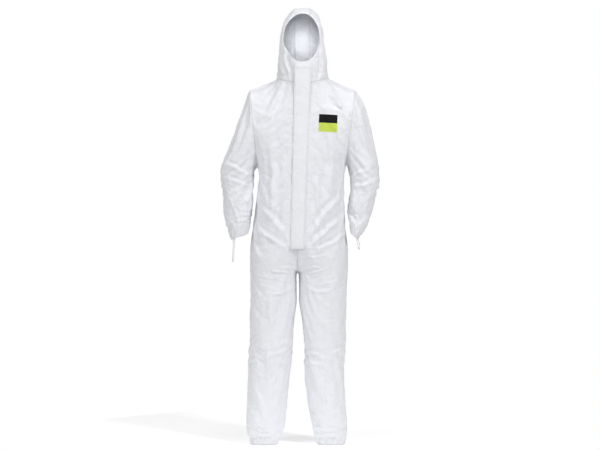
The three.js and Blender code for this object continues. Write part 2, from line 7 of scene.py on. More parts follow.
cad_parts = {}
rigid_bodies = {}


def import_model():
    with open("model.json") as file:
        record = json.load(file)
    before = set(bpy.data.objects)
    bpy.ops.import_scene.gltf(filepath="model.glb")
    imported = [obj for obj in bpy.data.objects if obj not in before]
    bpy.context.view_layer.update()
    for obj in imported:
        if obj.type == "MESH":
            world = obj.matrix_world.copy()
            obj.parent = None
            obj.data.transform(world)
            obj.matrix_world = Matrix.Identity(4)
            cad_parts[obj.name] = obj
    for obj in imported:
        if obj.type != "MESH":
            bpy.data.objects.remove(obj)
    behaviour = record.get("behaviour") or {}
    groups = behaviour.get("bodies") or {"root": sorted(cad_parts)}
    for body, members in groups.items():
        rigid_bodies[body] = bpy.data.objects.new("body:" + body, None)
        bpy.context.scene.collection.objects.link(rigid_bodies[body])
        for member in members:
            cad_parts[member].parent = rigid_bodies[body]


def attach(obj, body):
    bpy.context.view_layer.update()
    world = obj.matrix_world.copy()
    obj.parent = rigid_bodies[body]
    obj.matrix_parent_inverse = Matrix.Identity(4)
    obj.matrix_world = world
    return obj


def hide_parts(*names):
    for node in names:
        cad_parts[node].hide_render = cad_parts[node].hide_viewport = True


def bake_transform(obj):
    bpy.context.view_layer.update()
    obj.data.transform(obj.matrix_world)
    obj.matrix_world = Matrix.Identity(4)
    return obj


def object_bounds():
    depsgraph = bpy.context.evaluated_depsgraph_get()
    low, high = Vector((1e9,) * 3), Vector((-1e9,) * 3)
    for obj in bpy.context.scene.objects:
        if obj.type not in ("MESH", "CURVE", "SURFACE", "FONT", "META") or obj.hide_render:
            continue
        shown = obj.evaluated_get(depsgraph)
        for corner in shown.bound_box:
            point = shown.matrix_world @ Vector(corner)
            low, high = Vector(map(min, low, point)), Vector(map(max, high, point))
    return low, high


for _o in list(bpy.data.objects):
    bpy.data.objects.remove(_o)
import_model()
CAD_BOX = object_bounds()
MM = 0.001

# ------------------------------------------------------------------ camera and light
def make_camera():
    cam = bpy.data.cameras.new("camera")
    ob = bpy.data.objects.new("camera", cam)
    bpy.context.scene.collection.objects.link(ob)
    cam.sensor_width = 36.0
    cam.lens = 36.0 * 6.0 / 2.412
    cam.clip_end = 100
    ob.location = (0.0, -6.0, -0.575)
    ob.rotation_euler = (math.radians(90), 0, 0)
    bpy.context.scene.camera = ob
make_camera()

# ------------------------------------------------------------------ the suit's outline, as in the CAD model (mm)
ZIP_TOP, ZIP_BOTTOM = 66.0, -667.0
CROTCH, FLOOR_END = -756.0, -1451.0
SECTION, LEG_SECTION, HOOD_SECTION = 2.6, 2.3, 2.2
HOOD_TOP, SHOULDER_Z = 299.0, 169.0
FACE_TOP, FACE_BOTTOM, FACE_MID = 262.0, 70.0, 160.0
ZIP_HALF = 11.3
SLEEVE_OUT = 2.6

def along(rows, z):
    r = np.array(rows, float)[::-1]
    return np.interp(z, r[:, 0], r[:, 1])

def lerp(a, b, t):
    return a + (b - a) * t

def ease(t):
    t = np.clip(t, 0, 1)
    return t * t * (3 - 2 * t)

def zipX(z):
    return lerp(12.0, -10.0, np.clip((ZIP_TOP - z) / (ZIP_TOP - ZIP_BOTTOM), 0, 1))

def zipY(z):
    return lerp(-112.0, -120.0, np.clip((ZIP_TOP - z) / (ZIP_TOP - ZIP_BOTTOM), 0, 1))

SIDE = {
    "left": dict(sign=1, neck=(113, 12), tip=(222, -34), armpit=(184, -322),
        edge=[[-322, 184], [-374, 173], [-454, 173], [-494, 177], [-575, 181], [-635, 189], [-675, 193], [-756, 193]],
        outer=[[-700, 193], [-756, 193], [-816, 189], [-957, 185], [-1037, 185], [-1097, 181], [-1138, 177], [-1198, 177], [-1278, 181], [-1359, 189], [-1419, 189], [-1439, 185], [-1451, 181], [-1500, 178]],
        inner=[[-700, -6], [-756, -6], [-816, -4], [-876, -4], [-957, 8], [-1037, 16], [-1097, 20], [-1198, 20], [-1278, 32], [-1359, 44], [-1399, 52], [-1419, 56], [-1439, 64], [-1451, 68], [-1500, 71]]),
    "right": dict(sign=-1, neck=(-92, 8), tip=(-203, -32), armpit=(-172, -322),
        edge=[[-322, -172], [-374, -163], [-454, -173], [-494, -177], [-575, -187], [-635, -197], [-675, -201], [-756, -201]],
        outer=[[-700, -201], [-756, -201], [-876, -199], [-957, -201], [-1037, -201], [-1097, -205], [-1138, -209], [-1198, -209], [-1278, -213], [-1359, -217], [-1399, -213], [-1419, -209], [-1439, -203], [-1451, -199], [-1500, -196]],
        inner=[[-700, -14], [-756, -14], [-876, -13], [-957, -24], [-1037, -28], [-1097, -32], [-1138, -36], [-1198, -44], [-1278, -52], [-1359, -60], [-1399, -68], [-1419, -72], [-1439, -84], [-1451, -88], [-1500, -91]]),
}
BACK_DEPTH = [[10, 100], [-178, 126], [-330, 122], [-450, 108], [-560, 120], [-640, 128], [-700, 120], [-756, 104]]
FRONT_LOW = [[ZIP_BOTTOM, 120], [-700, 114], [-756, 98]]
LEG_DEPTH = [[-700, 98], [-756, 98], [-876, 96], [-1000, 92], [-1073, 90], [-1200, 84], [-1359, 80], [-1405, 74], [-1419, 66], [-1451, 56], [-1500, 54]]

def half_depth(front, z):
    if front:
        return float(-zipY(z)) if z > ZIP_BOTTOM else float(along(FRONT_LOW, z))
    return float(along(BACK_DEPTH, z))

def quarter(side, front):
    S = SIDE[side]; f = -1 if front else 1; sg = S["sign"]
    tipX, tipZ = S["tip"]; pitX, pitZ = S["armpit"]
    z0 = (tipZ + pitZ) / 2; H = (tipZ - pitZ) / 2; D0 = 92.0
    def edgeX(z):
        return lerp(pitX, tipX, (z - pitZ) / (tipZ - pitZ)) if z > pitZ else float(along(S["edge"], z))
    def at(s, z):
        b = half_depth(front, z); xc = float(zipX(z)); x1 = edgeX(z)
        x = lerp(xc, x1, 1 - (1 - s) ** 2)
        reach = abs(x1 - xc)
        if z > pitZ:
            d = D0 * math.sqrt(max(0, 1 - ((z - z0) / H) ** 2))
            reach /= (1 - (d / b) ** SECTION) ** (1 / SECTION)
        y = b * max(0, 1 - (abs(x - xc) / reach) ** SECTION) ** (1 / SECTION)
        w = float(ease((-640 - z) / (-640 - CROTCH)))
        if w > 0:
            lo = float(along(S["inner"], z)); hi = float(along(S["outer"], z))
            c = (lo + hi) / 2; h = abs(hi - lo) / 2
            r = b * max(0, 1 - min(1, abs(x - c) / h) ** LEG_SECTION) ** (1 / LEG_SECTION)
            q = 58 * (1 - min(1, abs(x - xc) / abs(x1 - xc))) ** 0.6
            y = lerp(y, (r ** 4 + q ** 4) ** 0.25, w)
        return (x, f * y, z)
    neckHalf = abs(S["neck"][0] - 10.0)
    neckDepth = 111.3 if front else 92.0
    neckLow = -14.0 if front else 4.0
    def top(s):
        sN = 0.5
        if s < sN:
            a = s / sN * math.pi / 2
            return (10.0 + sg * neckHalf * math.sin(a), f * neckDepth * math.cos(a), lerp(neckLow, S["neck"][1], math.sin(a) ** 2))
        t = (s - sN) / (1 - sN)
        return (lerp(S["neck"][0], tipX, t), 0.0, lerp(S["neck"][1], tipZ, t))
    VA = 0.34
    def P(s, v):
        if v >= VA:
            return at(s, lerp(z0, CROTCH, (v - VA) / (1 - VA)))
        a = (v / VA) * math.pi / 2
        m = lerp(1.25, 2, min(1, s / 0.5))
        T = top(s); C = at(s, z0)
        up = max(0, math.cos(a)) ** (2 / m); out = max(0, math.sin(a)) ** (2 / m)
        return (lerp(C[0], T[0], up), lerp(T[1], C[1], out), lerp(C[2], T[2], up))
    return P

RINGS = {
    "right": [[-172, -322, -203, -32, 92, 0], [-172.8, -326, -217, -72, 90, 0], [-172.8, -330, -241, -133, 86, 0], [-173.3, -334, -269, -201, 80, 0],
        [-173.7, -340, -293, -265, 75, 0], [-177, -356, -315.5, -317, 71, -2], [-181.7, -382, -321.6, -362, 69, -4], [-183.3, -406, -318.4, -398, 67, -6],
        [-183.3, -430, -312.4, -430, 65, -8], [-184, -466, -308, -470, 62, -11], [-185.5, -498.5, -304.7, -510.5, 58, -14], [-189.5, -534.7, -299, -550.7, 54, -17],
        [-194.5, -574.9, -290.2, -595, 48, -20], [-201, -597, -281.4, -621, 41, -22], [-203.8, -609, -275.4, -635, 37, -23]],
    "left": [[184, -322, 222, -34, 92, 0], [185.5, -327.6, 253.3, -72, 90, 0], [187, -333.7, 270, -120.6, 86, 0], [189, -339.7, 287.4, -189, 80, 0],
        [191.5, -345.7, 301.5, -257.3, 75, 0], [197, -365.8, 313.6, -313.6, 71, -2], [201, -390, 317.6, -353.8, 69, -4], [201, -410, 317.6, -390, 67, -6],
        [199.4, -432, 314.8, -426, 65, -8], [193.5, -466.3, 300.5, -470.3, 61, -11], [189, -499.5, 288, -511, 56, -14], [189.5, -533, 275.5, -553, 51, -18],
        [192, -560, 260, -588, 46, -22], [195.5, -585, 246, -613, 42, -25], [199, -607, 229, -634, 39, -27]],
}
for _s, _r in RINGS.items():
    for _k in _r:
        _k[0] += SIDE[_s]["sign"] * SLEEVE_OUT
        _k[2] += SIDE[_s]["sign"] * SLEEVE_OUT

HOOD_MID = [[300, 10], [169, 7], [28, 10], [-60, 10]]
def hoodX(z): return along(HOOD_MID, z)
def _round(z): return np.power(np.maximum(0, 1 - np.power(np.clip((z - SHOULDER_Z) / (HOOD_TOP - SHOULDER_Z), 0, 1), 2.4)), 1 / 2.4)
def hoodHalf(z): return np.where(z > SHOULDER_Z, 90 * _round(z), along([[169, 90], [108, 96], [68, 100], [28, 102], [-20, 103], [-60, 100]], z))
def hoodFront(z): return np.where(z > SHOULDER_Z, 118 * _round(z), along([[169, 118], [66, 112], [-20, 112], [-60, 108]], z))
def hoodBack(z): return np.where(z > SHOULDER_Z, 136 * _round(z), along([[169, 136], [108, 128], [50, 106], [6, 94], [-20, 92], [-60, 88]], z))

# ------------------------------------------------------------------ closed forms, joined by a voxel remesh
def loft(rings):
    """verts and quads of a closed form from rings of equal count, with a fan at each end"""
    n = len(rings[0]); V = [p for r in rings for p in r]; F = []
    for i in range(len(rings) - 1):
        for j in range(n):
            a = i * n + j; b = i * n + (j + 1) % n
            F.append((a, b, b + n, a + n))
    V.append(tuple(np.mean(rings[0], 0))); c0 = len(V) - 1
    V.append(tuple(np.mean(rings[-1], 0))); c1 = len(V) - 1
    last = (len(rings) - 1) * n
    for j in range(n):
        F.append((c0, (j + 1) % n, j)); F.append((c1, last + j, last + (j + 1) % n))
    return V, F

def mesh_object(name, V, F, scale=MM):
    me = bpy.data.meshes.new(name)
    me.from_pydata([tuple(float(c) * scale for c in v) for v in V], [], F)
    me.validate(); me.update()
    ob = bpy.data.objects.new(name, me)
    bpy.context.scene.collection.objects.link(ob)
    return ob

def recalc(ob):
    bm = bmesh.new(); bm.from_mesh(ob.data)
    bmesh.ops.recalc_face_normals(bm, faces=bm.faces)
    bm.to_mesh(ob.data); bm.free()

# while the forms are joined, the sleeves and legs are spread so that close walls stay apart
def spread(x, z, sign, start, k):
    return x + sign * shift(z, start, k)
def shift(z, start, k):
    t = np.maximum(0, start - z)
    if k == ARM_K: return k * (t - 20 * (1 - np.exp(-t / 20)))
    s = t - 5 * (1 - np.exp(-t / 5))
    return 42 * (1 - np.exp(-k * s / 42))
ARM_K, LEG_K = 0.42, 0.5

def torso_form():
    bm = bmesh.new()
    for side in ("left", "right"):
        for front in (True, False):
            P = quarter(side, front)
            ns, nv = 26, 66
            g = [[bm.verts.new(Vector(P(i / ns, j / nv)) * MM) for i in range(ns + 1)] for j in range(nv + 1)]
            for j in range(nv):
                for i in range(ns):
                    q = [g[j][i], g[j][i + 1], g[j + 1][i + 1], g[j + 1][i]]
                    bm.faces.new(q)
    bmesh.ops.remove_doubles(bm, verts=bm.verts, dist=0.0004)
    bmesh.ops.dissolve_degenerate(bm, dist=1e-5, edges=bm.edges)
    # a fan over each hole
    left = {e for e in bm.edges if len(e.link_faces) == 1}
    while left:
        e = left.pop(); loop = [e.verts[0], e.verts[1]]
        while loop[-1] is not loop[0]:
            nxt = [k for k in loop[-1].link_edges if k in left]
            if not nxt: break
            left.discard(nxt[0]); loop.append(nxt[0].other_vert(loop[-1]))
        if loop[-1] is loop[0]: loop.pop()
        c = bm.verts.new(sum((v.co for v in loop), Vector()) / len(loop))
        for i in range(len(loop)):
            try: bm.faces.new((loop[i], loop[(i + 1) % len(loop)], c))
            except ValueError: pass
    bmesh.ops.recalc_face_normals(bm, faces=bm.faces)
    me = bpy.data.meshes.new("torso_form"); bm.to_mesh(me); bm.free()
    ob = bpy.data.objects.new("torso_form", me); bpy.context.scene.collection.objects.link(ob)
    return ob

def sleeve_ring(side, r, n=44):
    R = np.array(RINGS[side]); r = float(r)
    i = int(min(len(R) - 2, max(0, math.floor(r)))); t = r - i
    ix, iz, ox, oz, d, cy = R[i] + (R[i + 1] - R[i]) * t
    a = np.arange(n) / n * 2 * math.pi
    c, s = np.cos(a), np.sin(a)
    return np.stack([(ix + ox) / 2 + (ox - ix) / 2 * c, cy + d * s, (iz + oz) / 2 + (oz - iz) / 2 * c], 1)

def sleeve_form(side):
    sg = SIDE[side]["sign"]
    rings = []
    first = sleeve_ring(side, 0); mid = first.mean(0)
    inner = mid + (first - mid) * 0.97; inner[:, 0] -= sg * 22
    rings.append(inner)
    for r in np.linspace(0, 15.6, 54): rings.append(sleeve_ring(side, r))
    out = []
    for g in rings:
        g = g.copy(); g[:, 0] = spread(g[:, 0], g[:, 2], sg, -318, ARM_K); out.append([tuple(p) for p in g])
    V, F = loft(out); ob = mesh_object("sleeve_form", V, F); recalc(ob); return ob

def leg_form(side):
    sg = SIDE[side]["sign"]; rings = []; n = 56
    a = np.arange(n) / n * 2 * math.pi; ca, sa = np.cos(a), np.sin(a)
    for z in np.linspace(-726, -1485, 60):
        lo, hi = float(along(SIDE[side]["inner"], z)), float(along(SIDE[side]["outer"], z))
        c, h, b = (lo + hi) / 2, abs(hi - lo) / 2, float(along(LEG_DEPTH, z))
        k = lerp(1.0, 0.93, max(0, (z + 756) / 30))
        x = c + k * h * np.sign(ca) * np.abs(ca) ** (2 / LEG_SECTION)
        y = k * b * np.sign(sa) * np.abs(sa) ** (2 / LEG_SECTION)
        x = spread(x, np.full(n, z), sg, CROTCH, LEG_K)
        rings.append(list(zip(x, y, np.full(n, z))))
    V, F = loft(rings); ob = mesh_object("leg_form", V, F); recalc(ob); return ob

def hood_form():
    rings = []; n = 64
    a = np.arange(n) / n * 2 * math.pi; ca, sa = np.cos(a), np.sin(a)
    zs = list(np.linspace(-38, 169, 30)) + [169 + 129.5 * math.sin(t * math.pi / 2) for t in np.linspace(0.05, 1, 22)]
    for z in zs:
        h = float(hoodHalf(z)); x = float(hoodX(z)) + h * np.sign(sa) * np.abs(sa) ** (2 / HOOD_SECTION)
        b = np.where(ca > 0, float(hoodFront(z)), float(hoodBack(z)))
        y = -b * np.sign(ca) * np.abs(ca) ** (2 / HOOD_SECTION)
        rings.append(list(zip(x, y, np.full(n, z))))
    V, F = loft(rings); ob = mesh_object("hood_form", V, F); recalc(ob); return ob

def union_mesh(voxel):
    obs = [torso_form(), hood_form()] + [f(s) for s in ("left", "right") for f in (sleeve_form, leg_form)]
    bpy.ops.object.select_all(action="DESELECT")
    for o in obs: o.select_set(True)
    bpy.context.view_layer.objects.active = obs[0]
    bpy.ops.object.join()
    ob = bpy.context.view_layer.objects.active
    m = ob.modifiers.new("r", "REMESH"); m.mode = "VOXEL"; m.voxel_size = voxel; m.adaptivity = 0
    bpy.ops.object.modifier_apply(modifier="r")
    ob.name = "shell"
    return ob

# ------------------------------------------------------------------ small numeric helpers
def hash3(ix, iy, iz, seed):
    h = (ix.astype(np.int64) * 374761393 + iy.astype(np.int64) * 668265263 + iz.astype(np.int64) * 2147483647 + seed * 974711) & 0xFFFFFFFF
    h = ((h ^ (h >> 13)) * 1274126177) & 0xFFFFFFFF
    h = h ^ (h >> 16)
    return (h & 0xFFFFFF) / float(0xFFFFFF) * 2 - 1

def noise3(p, seed=0):
    f = np.floor(p); t = p - f; t = t * t * t * (t * (t * 6 - 15) + 10); i = f.astype(np.int64)
    out = 0
    for dx in (0, 1):
        wx = t[:, 0] if dx else 1 - t[:, 0]
        for dy in (0, 1):
            wy = t[:, 1] if dy else 1 - t[:, 1]
            for dz in (0, 1):
                wz = t[:, 2] if dz else 1 - t[:, 2]
                out = out + wx * wy * wz * hash3(i[:, 0] + dx, i[:, 1] + dy, i[:, 2] + dz, seed)
    return out

def sstep(a, b, x):
    t = np.clip((x - a) / (b - a), 0, 1)
    return t * t * (3 - 2 * t)

LINE = {  # the surface between body and sleeve, where the forms are still spread: z, |x|
    "left": [[90, 238.4], [-34, 222], [-322, 184], [-335, 186], [-345, 188], [-360, 191], [-400, 200], [-500, 218], [-600, 250], [-800, 275]],
    "right": [[90, 216], [-32, 203], [-322, 172], [-335, 173.5], [-345, 174.5], [-360, 178], [-400, 189], [-500, 217], [-600, 253], [-800, 275]],
}
def beyond(side, S):
    """how far outside the armhole surface, in mm, while spread"""
    return SIDE[side]["sign"] * S[:, 0] - along(LINE[side], S[:, 2])

def neckZ(S):
    front = S[:, 1] < 0; left = S[:, 0] > 10
    half = np.where(left, 103.0, 102.0); side = np.where(left, 12.0, 8.0)
    low = np.where(front, -14.0, 4.0)
    return lerp(low, side, np.clip((S[:, 0] - 10) / half, -1, 1) ** 2)

def faceField(S, grow=0.0):
    up = S[:, 2] > FACE_MID
    h = np.where(up, FACE_TOP - FACE_MID, FACE_MID - FACE_BOTTOM) + grow
    p = np.where(up, 2.0, 1.75)
    a = np.abs(S[:, 0] - hoodX(S[:, 2])) / (72.0 + grow)
    b = np.abs(S[:, 2] - FACE_MID) / h
    return a ** 2 + b ** p - 1

def unspread(S):
    R = S.copy(); z = S[:, 2]
    arm, leg = shift(z, -318, ARM_K), shift(z, CROTCH, LEG_K)
    isArm = np.zeros(len(S), bool)
    for side in ("left", "right"):
        sg = SIDE[side]["sign"]; m = (beyond(side, S) > 0) & (z < -318) & (z > -760)
        R[m, 0] -= sg * arm[m]; isArm |= m
    m = ~isArm & (z < CROTCH)
    R[m, 0] -= np.where(S[m, 0] > -9.5, 1, -1) * leg[m]
    return R

def cuffField(side, S, off=0.0):
    """distance above the cuff's edge plane, mm, in rest space"""
    R = unspread(S); r = RINGS[side][14]
    a = np.array([r[0], r[1]], float); b = np.array([r[2], r[3]], float)
    d = (b - a) / np.linalg.norm(b - a)
    n = np.array([-d[1], d[0]]); n = n if n[1] > 0 else -n
    return (R[:, 0] - a[0]) * n[0] + (R[:, 2] - a[1]) * n[1] - off

def ringField(side, S, ring):
    R = unspread(S); i = int(ring); t = ring - i
    r = np.array(RINGS[side][i], float) * (1 - t) + np.array(RINGS[side][min(14, i + 1)], float) * t
    a, b = r[0:2], r[2:4]; d = (b - a) / np.linalg.norm(b - a)
    n = np.array([-d[1], d[0]]); n = n if n[1] > 0 else -n
    return (R[:, 0] - a[0]) * n[0] + (R[:, 2] - a[1]) * n[1]

# ------------------------------------------------------------------ cutting the shell along its seams
def cut(bm, field, where=None, locked=None):
    bm.verts.index_update()
    vs = list(bm.verts); S = np.array([v.co[:] for v in vs]) / MM
    val = field(S); ok = where(S) if where is not None else np.ones(len(S), bool)
    val = np.where(np.abs(val) < 1e-6, 0, val)
    ev = [(e, e.verts[0].index, e.verts[1].index) for e in bm.edges]
    A = np.array([a for _, a, _ in ev]); B = np.array([b for _, _, b in ev])
    hit = np.nonzero((val[A] * val[B] < 0) & ok[A] & ok[B])[0]
    zero = set(); moved = {}
    for k in hit:
        a, b = A[k], B[k]; t = val[a] / (val[a] - val[b])
        near = a if t < 0.22 else b if t > 0.78 else None
        if near is None or near in moved or vs[near] in locked: continue
        moved[near] = S[a] + (S[b] - S[a]) * t
    for i, p in moved.items():
        vs[i].co = Vector(p) * MM; val[i] = 0; zero.add(vs[i]); locked.add(vs[i])
    for k in hit:
        e, a, b = ev[k]
        if val[a] * val[b] >= 0: continue
        t = val[a] / (val[a] - val[b])
        _, nv = bmesh.utils.edge_split(e, vs[a], float(t))
        zero.add(nv); locked.add(nv)
    for i in np.nonzero((val == 0) & ok)[0]: zero.add(vs[i])
    faces = {f for v in zero for f in v.link_faces}
    todo = list(faces)
    while todo:
        f = todo.pop()
        loop = list(f.verts); z = [i for i, v in enumerate(loop) if v in zero]
        if len(z) < 2: continue
        done = False
        for p in range(len(z)):
            for q in range(p + 1, len(z)):
                i, j = z[p], z[q]
                if j - i < 2 or (i == 0 and j == len(loop) - 1): continue
                one = [val[v.index] if v.index >= 0 and v not in zero else 0 for v in loop[i + 1:j]]
                two = [val[v.index] if v.index >= 0 and v not in zero else 0 for v in loop[j + 1:] + loop[:i]]
                if not any(one) or not any(two): continue
                if np.sign(sum(one)) == np.sign(sum(two)): continue
                try: nf, _ = bmesh.utils.face_split(f, loop[i], loop[j])
                except ValueError: continue
                todo += [f, nf]; done = True; break
            if done: break

def label_faces(bm):
    C = np.array([f.calc_center_median()[:] for f in bm.faces]) / MM
    R = unspread(C)
    names = []
    x, y, z = C.T
    arm = {s: beyond(s, C) > 0 for s in ("left", "right")}
    arm = {s: arm[s] & (z < 40) & (z > -760) & (z < neckZ(C)) for s in arm}
    cuffD = {s: cuffField(s, C) for s in arm}; ringD = {s: ringField(s, C, 7.0) for s in arm}
    neck = neckZ(C); zx = zipX(z); hx = hoodX(z)
    f0 = faceField(C); f1 = faceField(C, 11.0)
    for i in range(len(C)):
        s = "left" if arm["left"][i] else "right" if arm["right"][i] else None
        front = y[i] < 0
        if s:
            d = cuffD[s][i]
            n = "gone" if d < 0 else "cuff_hem_" + s if d < 20 else ("sleeve_upper_" if ringD[s][i] > 0 else "sleeve_lower_") + s
        elif z[i] > neck[i]:
            if front and f0[i] < 0: n = "gone"
            elif front and f1[i] < 0: n = "face_hem"
            elif front and abs(x[i] - zx[i]) < ZIP_HALF and z[i] < 66: n = "gone"
            else: n = "hood_centre" if abs(x[i] - hx[i]) < 32 else "hood_left" if x[i] > hx[i] else "hood_right"
            if n == "hood_centre" and front and z[i] < 110: n = "hood_left" if x[i] > zx[i] else "hood_right"
        elif z[i] > CROTCH or (z[i] > -785 and abs(y[i]) < 52 and abs(x[i] + 10) < 30):
            if front and abs(x[i] - zx[i]) < ZIP_HALF and z[i] > ZIP_BOTTOM: n = "gone"
            elif z[i] < -745 and abs(y[i]) < 52 and abs(x[i] + 10) < 30: n = "crotch_gusset"
            else: n = ("front_" if front else "back_") + ("left" if x[i] > zx[i] else "right")
        else:
            s = "left" if x[i] > -9.5 else "right"
            fb = "front_" if front else "back_"
            n = "gone" if z[i] < FLOOR_END else "ankle_hem_" + s if z[i] < -1427 else "leg_upper_" + fb + s if z[i] > -943 else "leg_lower_" + fb + s
        names.append(n)
    return names

def build_shell():
    ob = union_mesh(0.0072)
    bm = bmesh.new(); bm.from_mesh(ob.data); bpy.data.objects.remove(ob)
    bm.verts.ensure_lookup_table()
    for _ in range(3):
        bmesh.ops.smooth_vert(bm, verts=bm.verts, factor=0.5, use_axis_x=True, use_axis_y=True, use_axis_z=True)
    lock = set()
    front = lambda S: S[:, 1] < 0
    body = lambda S: (beyond("left", S) < 12) & (beyond("right", S) < 12)
    below = lambda S: S[:, 2] < neckZ(S) + 10
    above = lambda S: S[:, 2] > neckZ(S) - 10
    cut(bm, lambda S: faceField(S), lambda S: front(S) & (S[:, 2] > 50), lock)
    cut(bm, lambda S: faceField(S, 11.0), lambda S: front(S) & (S[:, 2] > 45), lock)
    for k in (-1, 1):
        cut(bm, lambda S: S[:, 0] - zipX(S[:, 2]) - k * ZIP_HALF, lambda S: front(S) & (S[:, 2] > ZIP_BOTTOM - 9) & (S[:, 2] < 75), lock)
    for zz in (66.0, ZIP_BOTTOM):
        cut(bm, lambda S: S[:, 2] - zz, lambda S: front(S) & (np.abs(S[:, 0] - zipX(S[:, 2])) < ZIP_HALF + 8), lock)
    for s in ("left", "right"):
        cut(bm, lambda S: beyond(s, S), lambda S: (S[:, 2] < 45) & (S[:, 2] > -365), lock)
        near = lambda S: (beyond(s, S) > 0) & (S[:, 2] < -300)
        cut(bm, lambda S: cuffField(s, S), near, lock)
        cut(bm, lambda S: cuffField(s, S, 20), near, lock)
        cut(bm, lambda S: ringField(s, S, 7.0), lambda S: (beyond(s, S) > 0) & (S[:, 2] > -520), lock)
    cut(bm, lambda S: S[:, 2] - neckZ(S), lambda S: (np.abs(S[:, 0] - 10) < 125), lock)
    cut(bm, lambda S: S[:, 2] - CROTCH, body, lock)
    cut(bm, lambda S: S[:, 0] - zipX(S[:, 2]), lambda S: body(S) & (S[:, 2] > -775) & ((S[:, 1] > 0) | (S[:, 2] < ZIP_BOTTOM)) & below(S), lock)
    cut(bm, lambda S: S[:, 1], lambda S: body(S) & below(S), lock)
    for k in (-32, 32):
        cut(bm, lambda S: S[:, 0] - hoodX(S[:, 2]) - k, lambda S: above(S) & ((S[:, 1] > 0) | (S[:, 2] > 200)), lock)
    for zz in (-943.0, -1427.0, FLOOR_END):
        cut(bm, lambda S: S[:, 2] - zz, body, lock)
    for k in (-52, 52):
        cut(bm, lambda S: S[:, 1] - k, lambda S: (S[:, 2] < -742) & (S[:, 2] > -792) & (np.abs(S[:, 0] + 10) < 36), lock)
    cut(bm, lambda S: S[:, 2] + 785, lambda S: (np.abs(S[:, 1]) < 58) & (np.abs(S[:, 0] + 10) < 36), lock)
    names = label_faces(bm)
    kinds = sorted(set(names) - {"gone"}); gone = []
    for f, n in zip(bm.faces, names):
        if n == "gone": gone.append(f)
        else: f.material_index = kinds.index(n); f.smooth = True
    bmesh.ops.delete(bm, geom=gone, context="FACES")
    S = np.array([v.co[:] for v in bm.verts]) / MM
    R = unspread(S)
    for v, r in zip(bm.verts, R): v.co = Vector(r) * MM
    me = bpy.data.meshes.new("shell"); bm.to_mesh(me); bm.free()
    for k in kinds: me.materials.append(None)
    a = me.attributes.new("spread", "FLOAT_VECTOR", "POINT"); a.data.foreach_set("vector", S.astype(np.float32).ravel())
    a = me.attributes.new("rest", "FLOAT_VECTOR", "POINT"); a.data.foreach_set("vector", R.astype(np.float32).ravel())
    ob = bpy.data.objects.new("shell", me); bpy.context.scene.collection.objects.link(ob)
    return ob, kinds

# ------------------------------------------------------------------ folds
def px(x, y):
    return ((x - 300) * 4.02, (82 - y) * 4.02)

def polyline_distance(P, pts):
    """signed distance to a polyline in the x,z plane, and the share of its length at the nearest point"""
    pts = np.array(pts, float); seg = np.diff(pts, axis=0); L = np.linalg.norm(seg, axis=1); tot = L.sum()
    best = np.full(len(P), 1e9); sd = np.zeros(len(P)); u = np.zeros(len(P)); acc = 0.0
    for i in range(len(seg)):
        d = seg[i] / L[i]; q = P - pts[i]
        t = np.clip(q @ d, 0, L[i]); near = pts[i] + t[:, None] * d
        v = P - near; r = np.hypot(v[:, 0], v[:, 1])
        side = np.sign(d[0] * q[:, 1] - d[1] * q[:, 0])
        m = r < best
        best[m] = r[m]; sd[m] = (r * side)[m]; u[m] = ((acc + t) / tot)[m]; acc += L[i]
    return sd, u

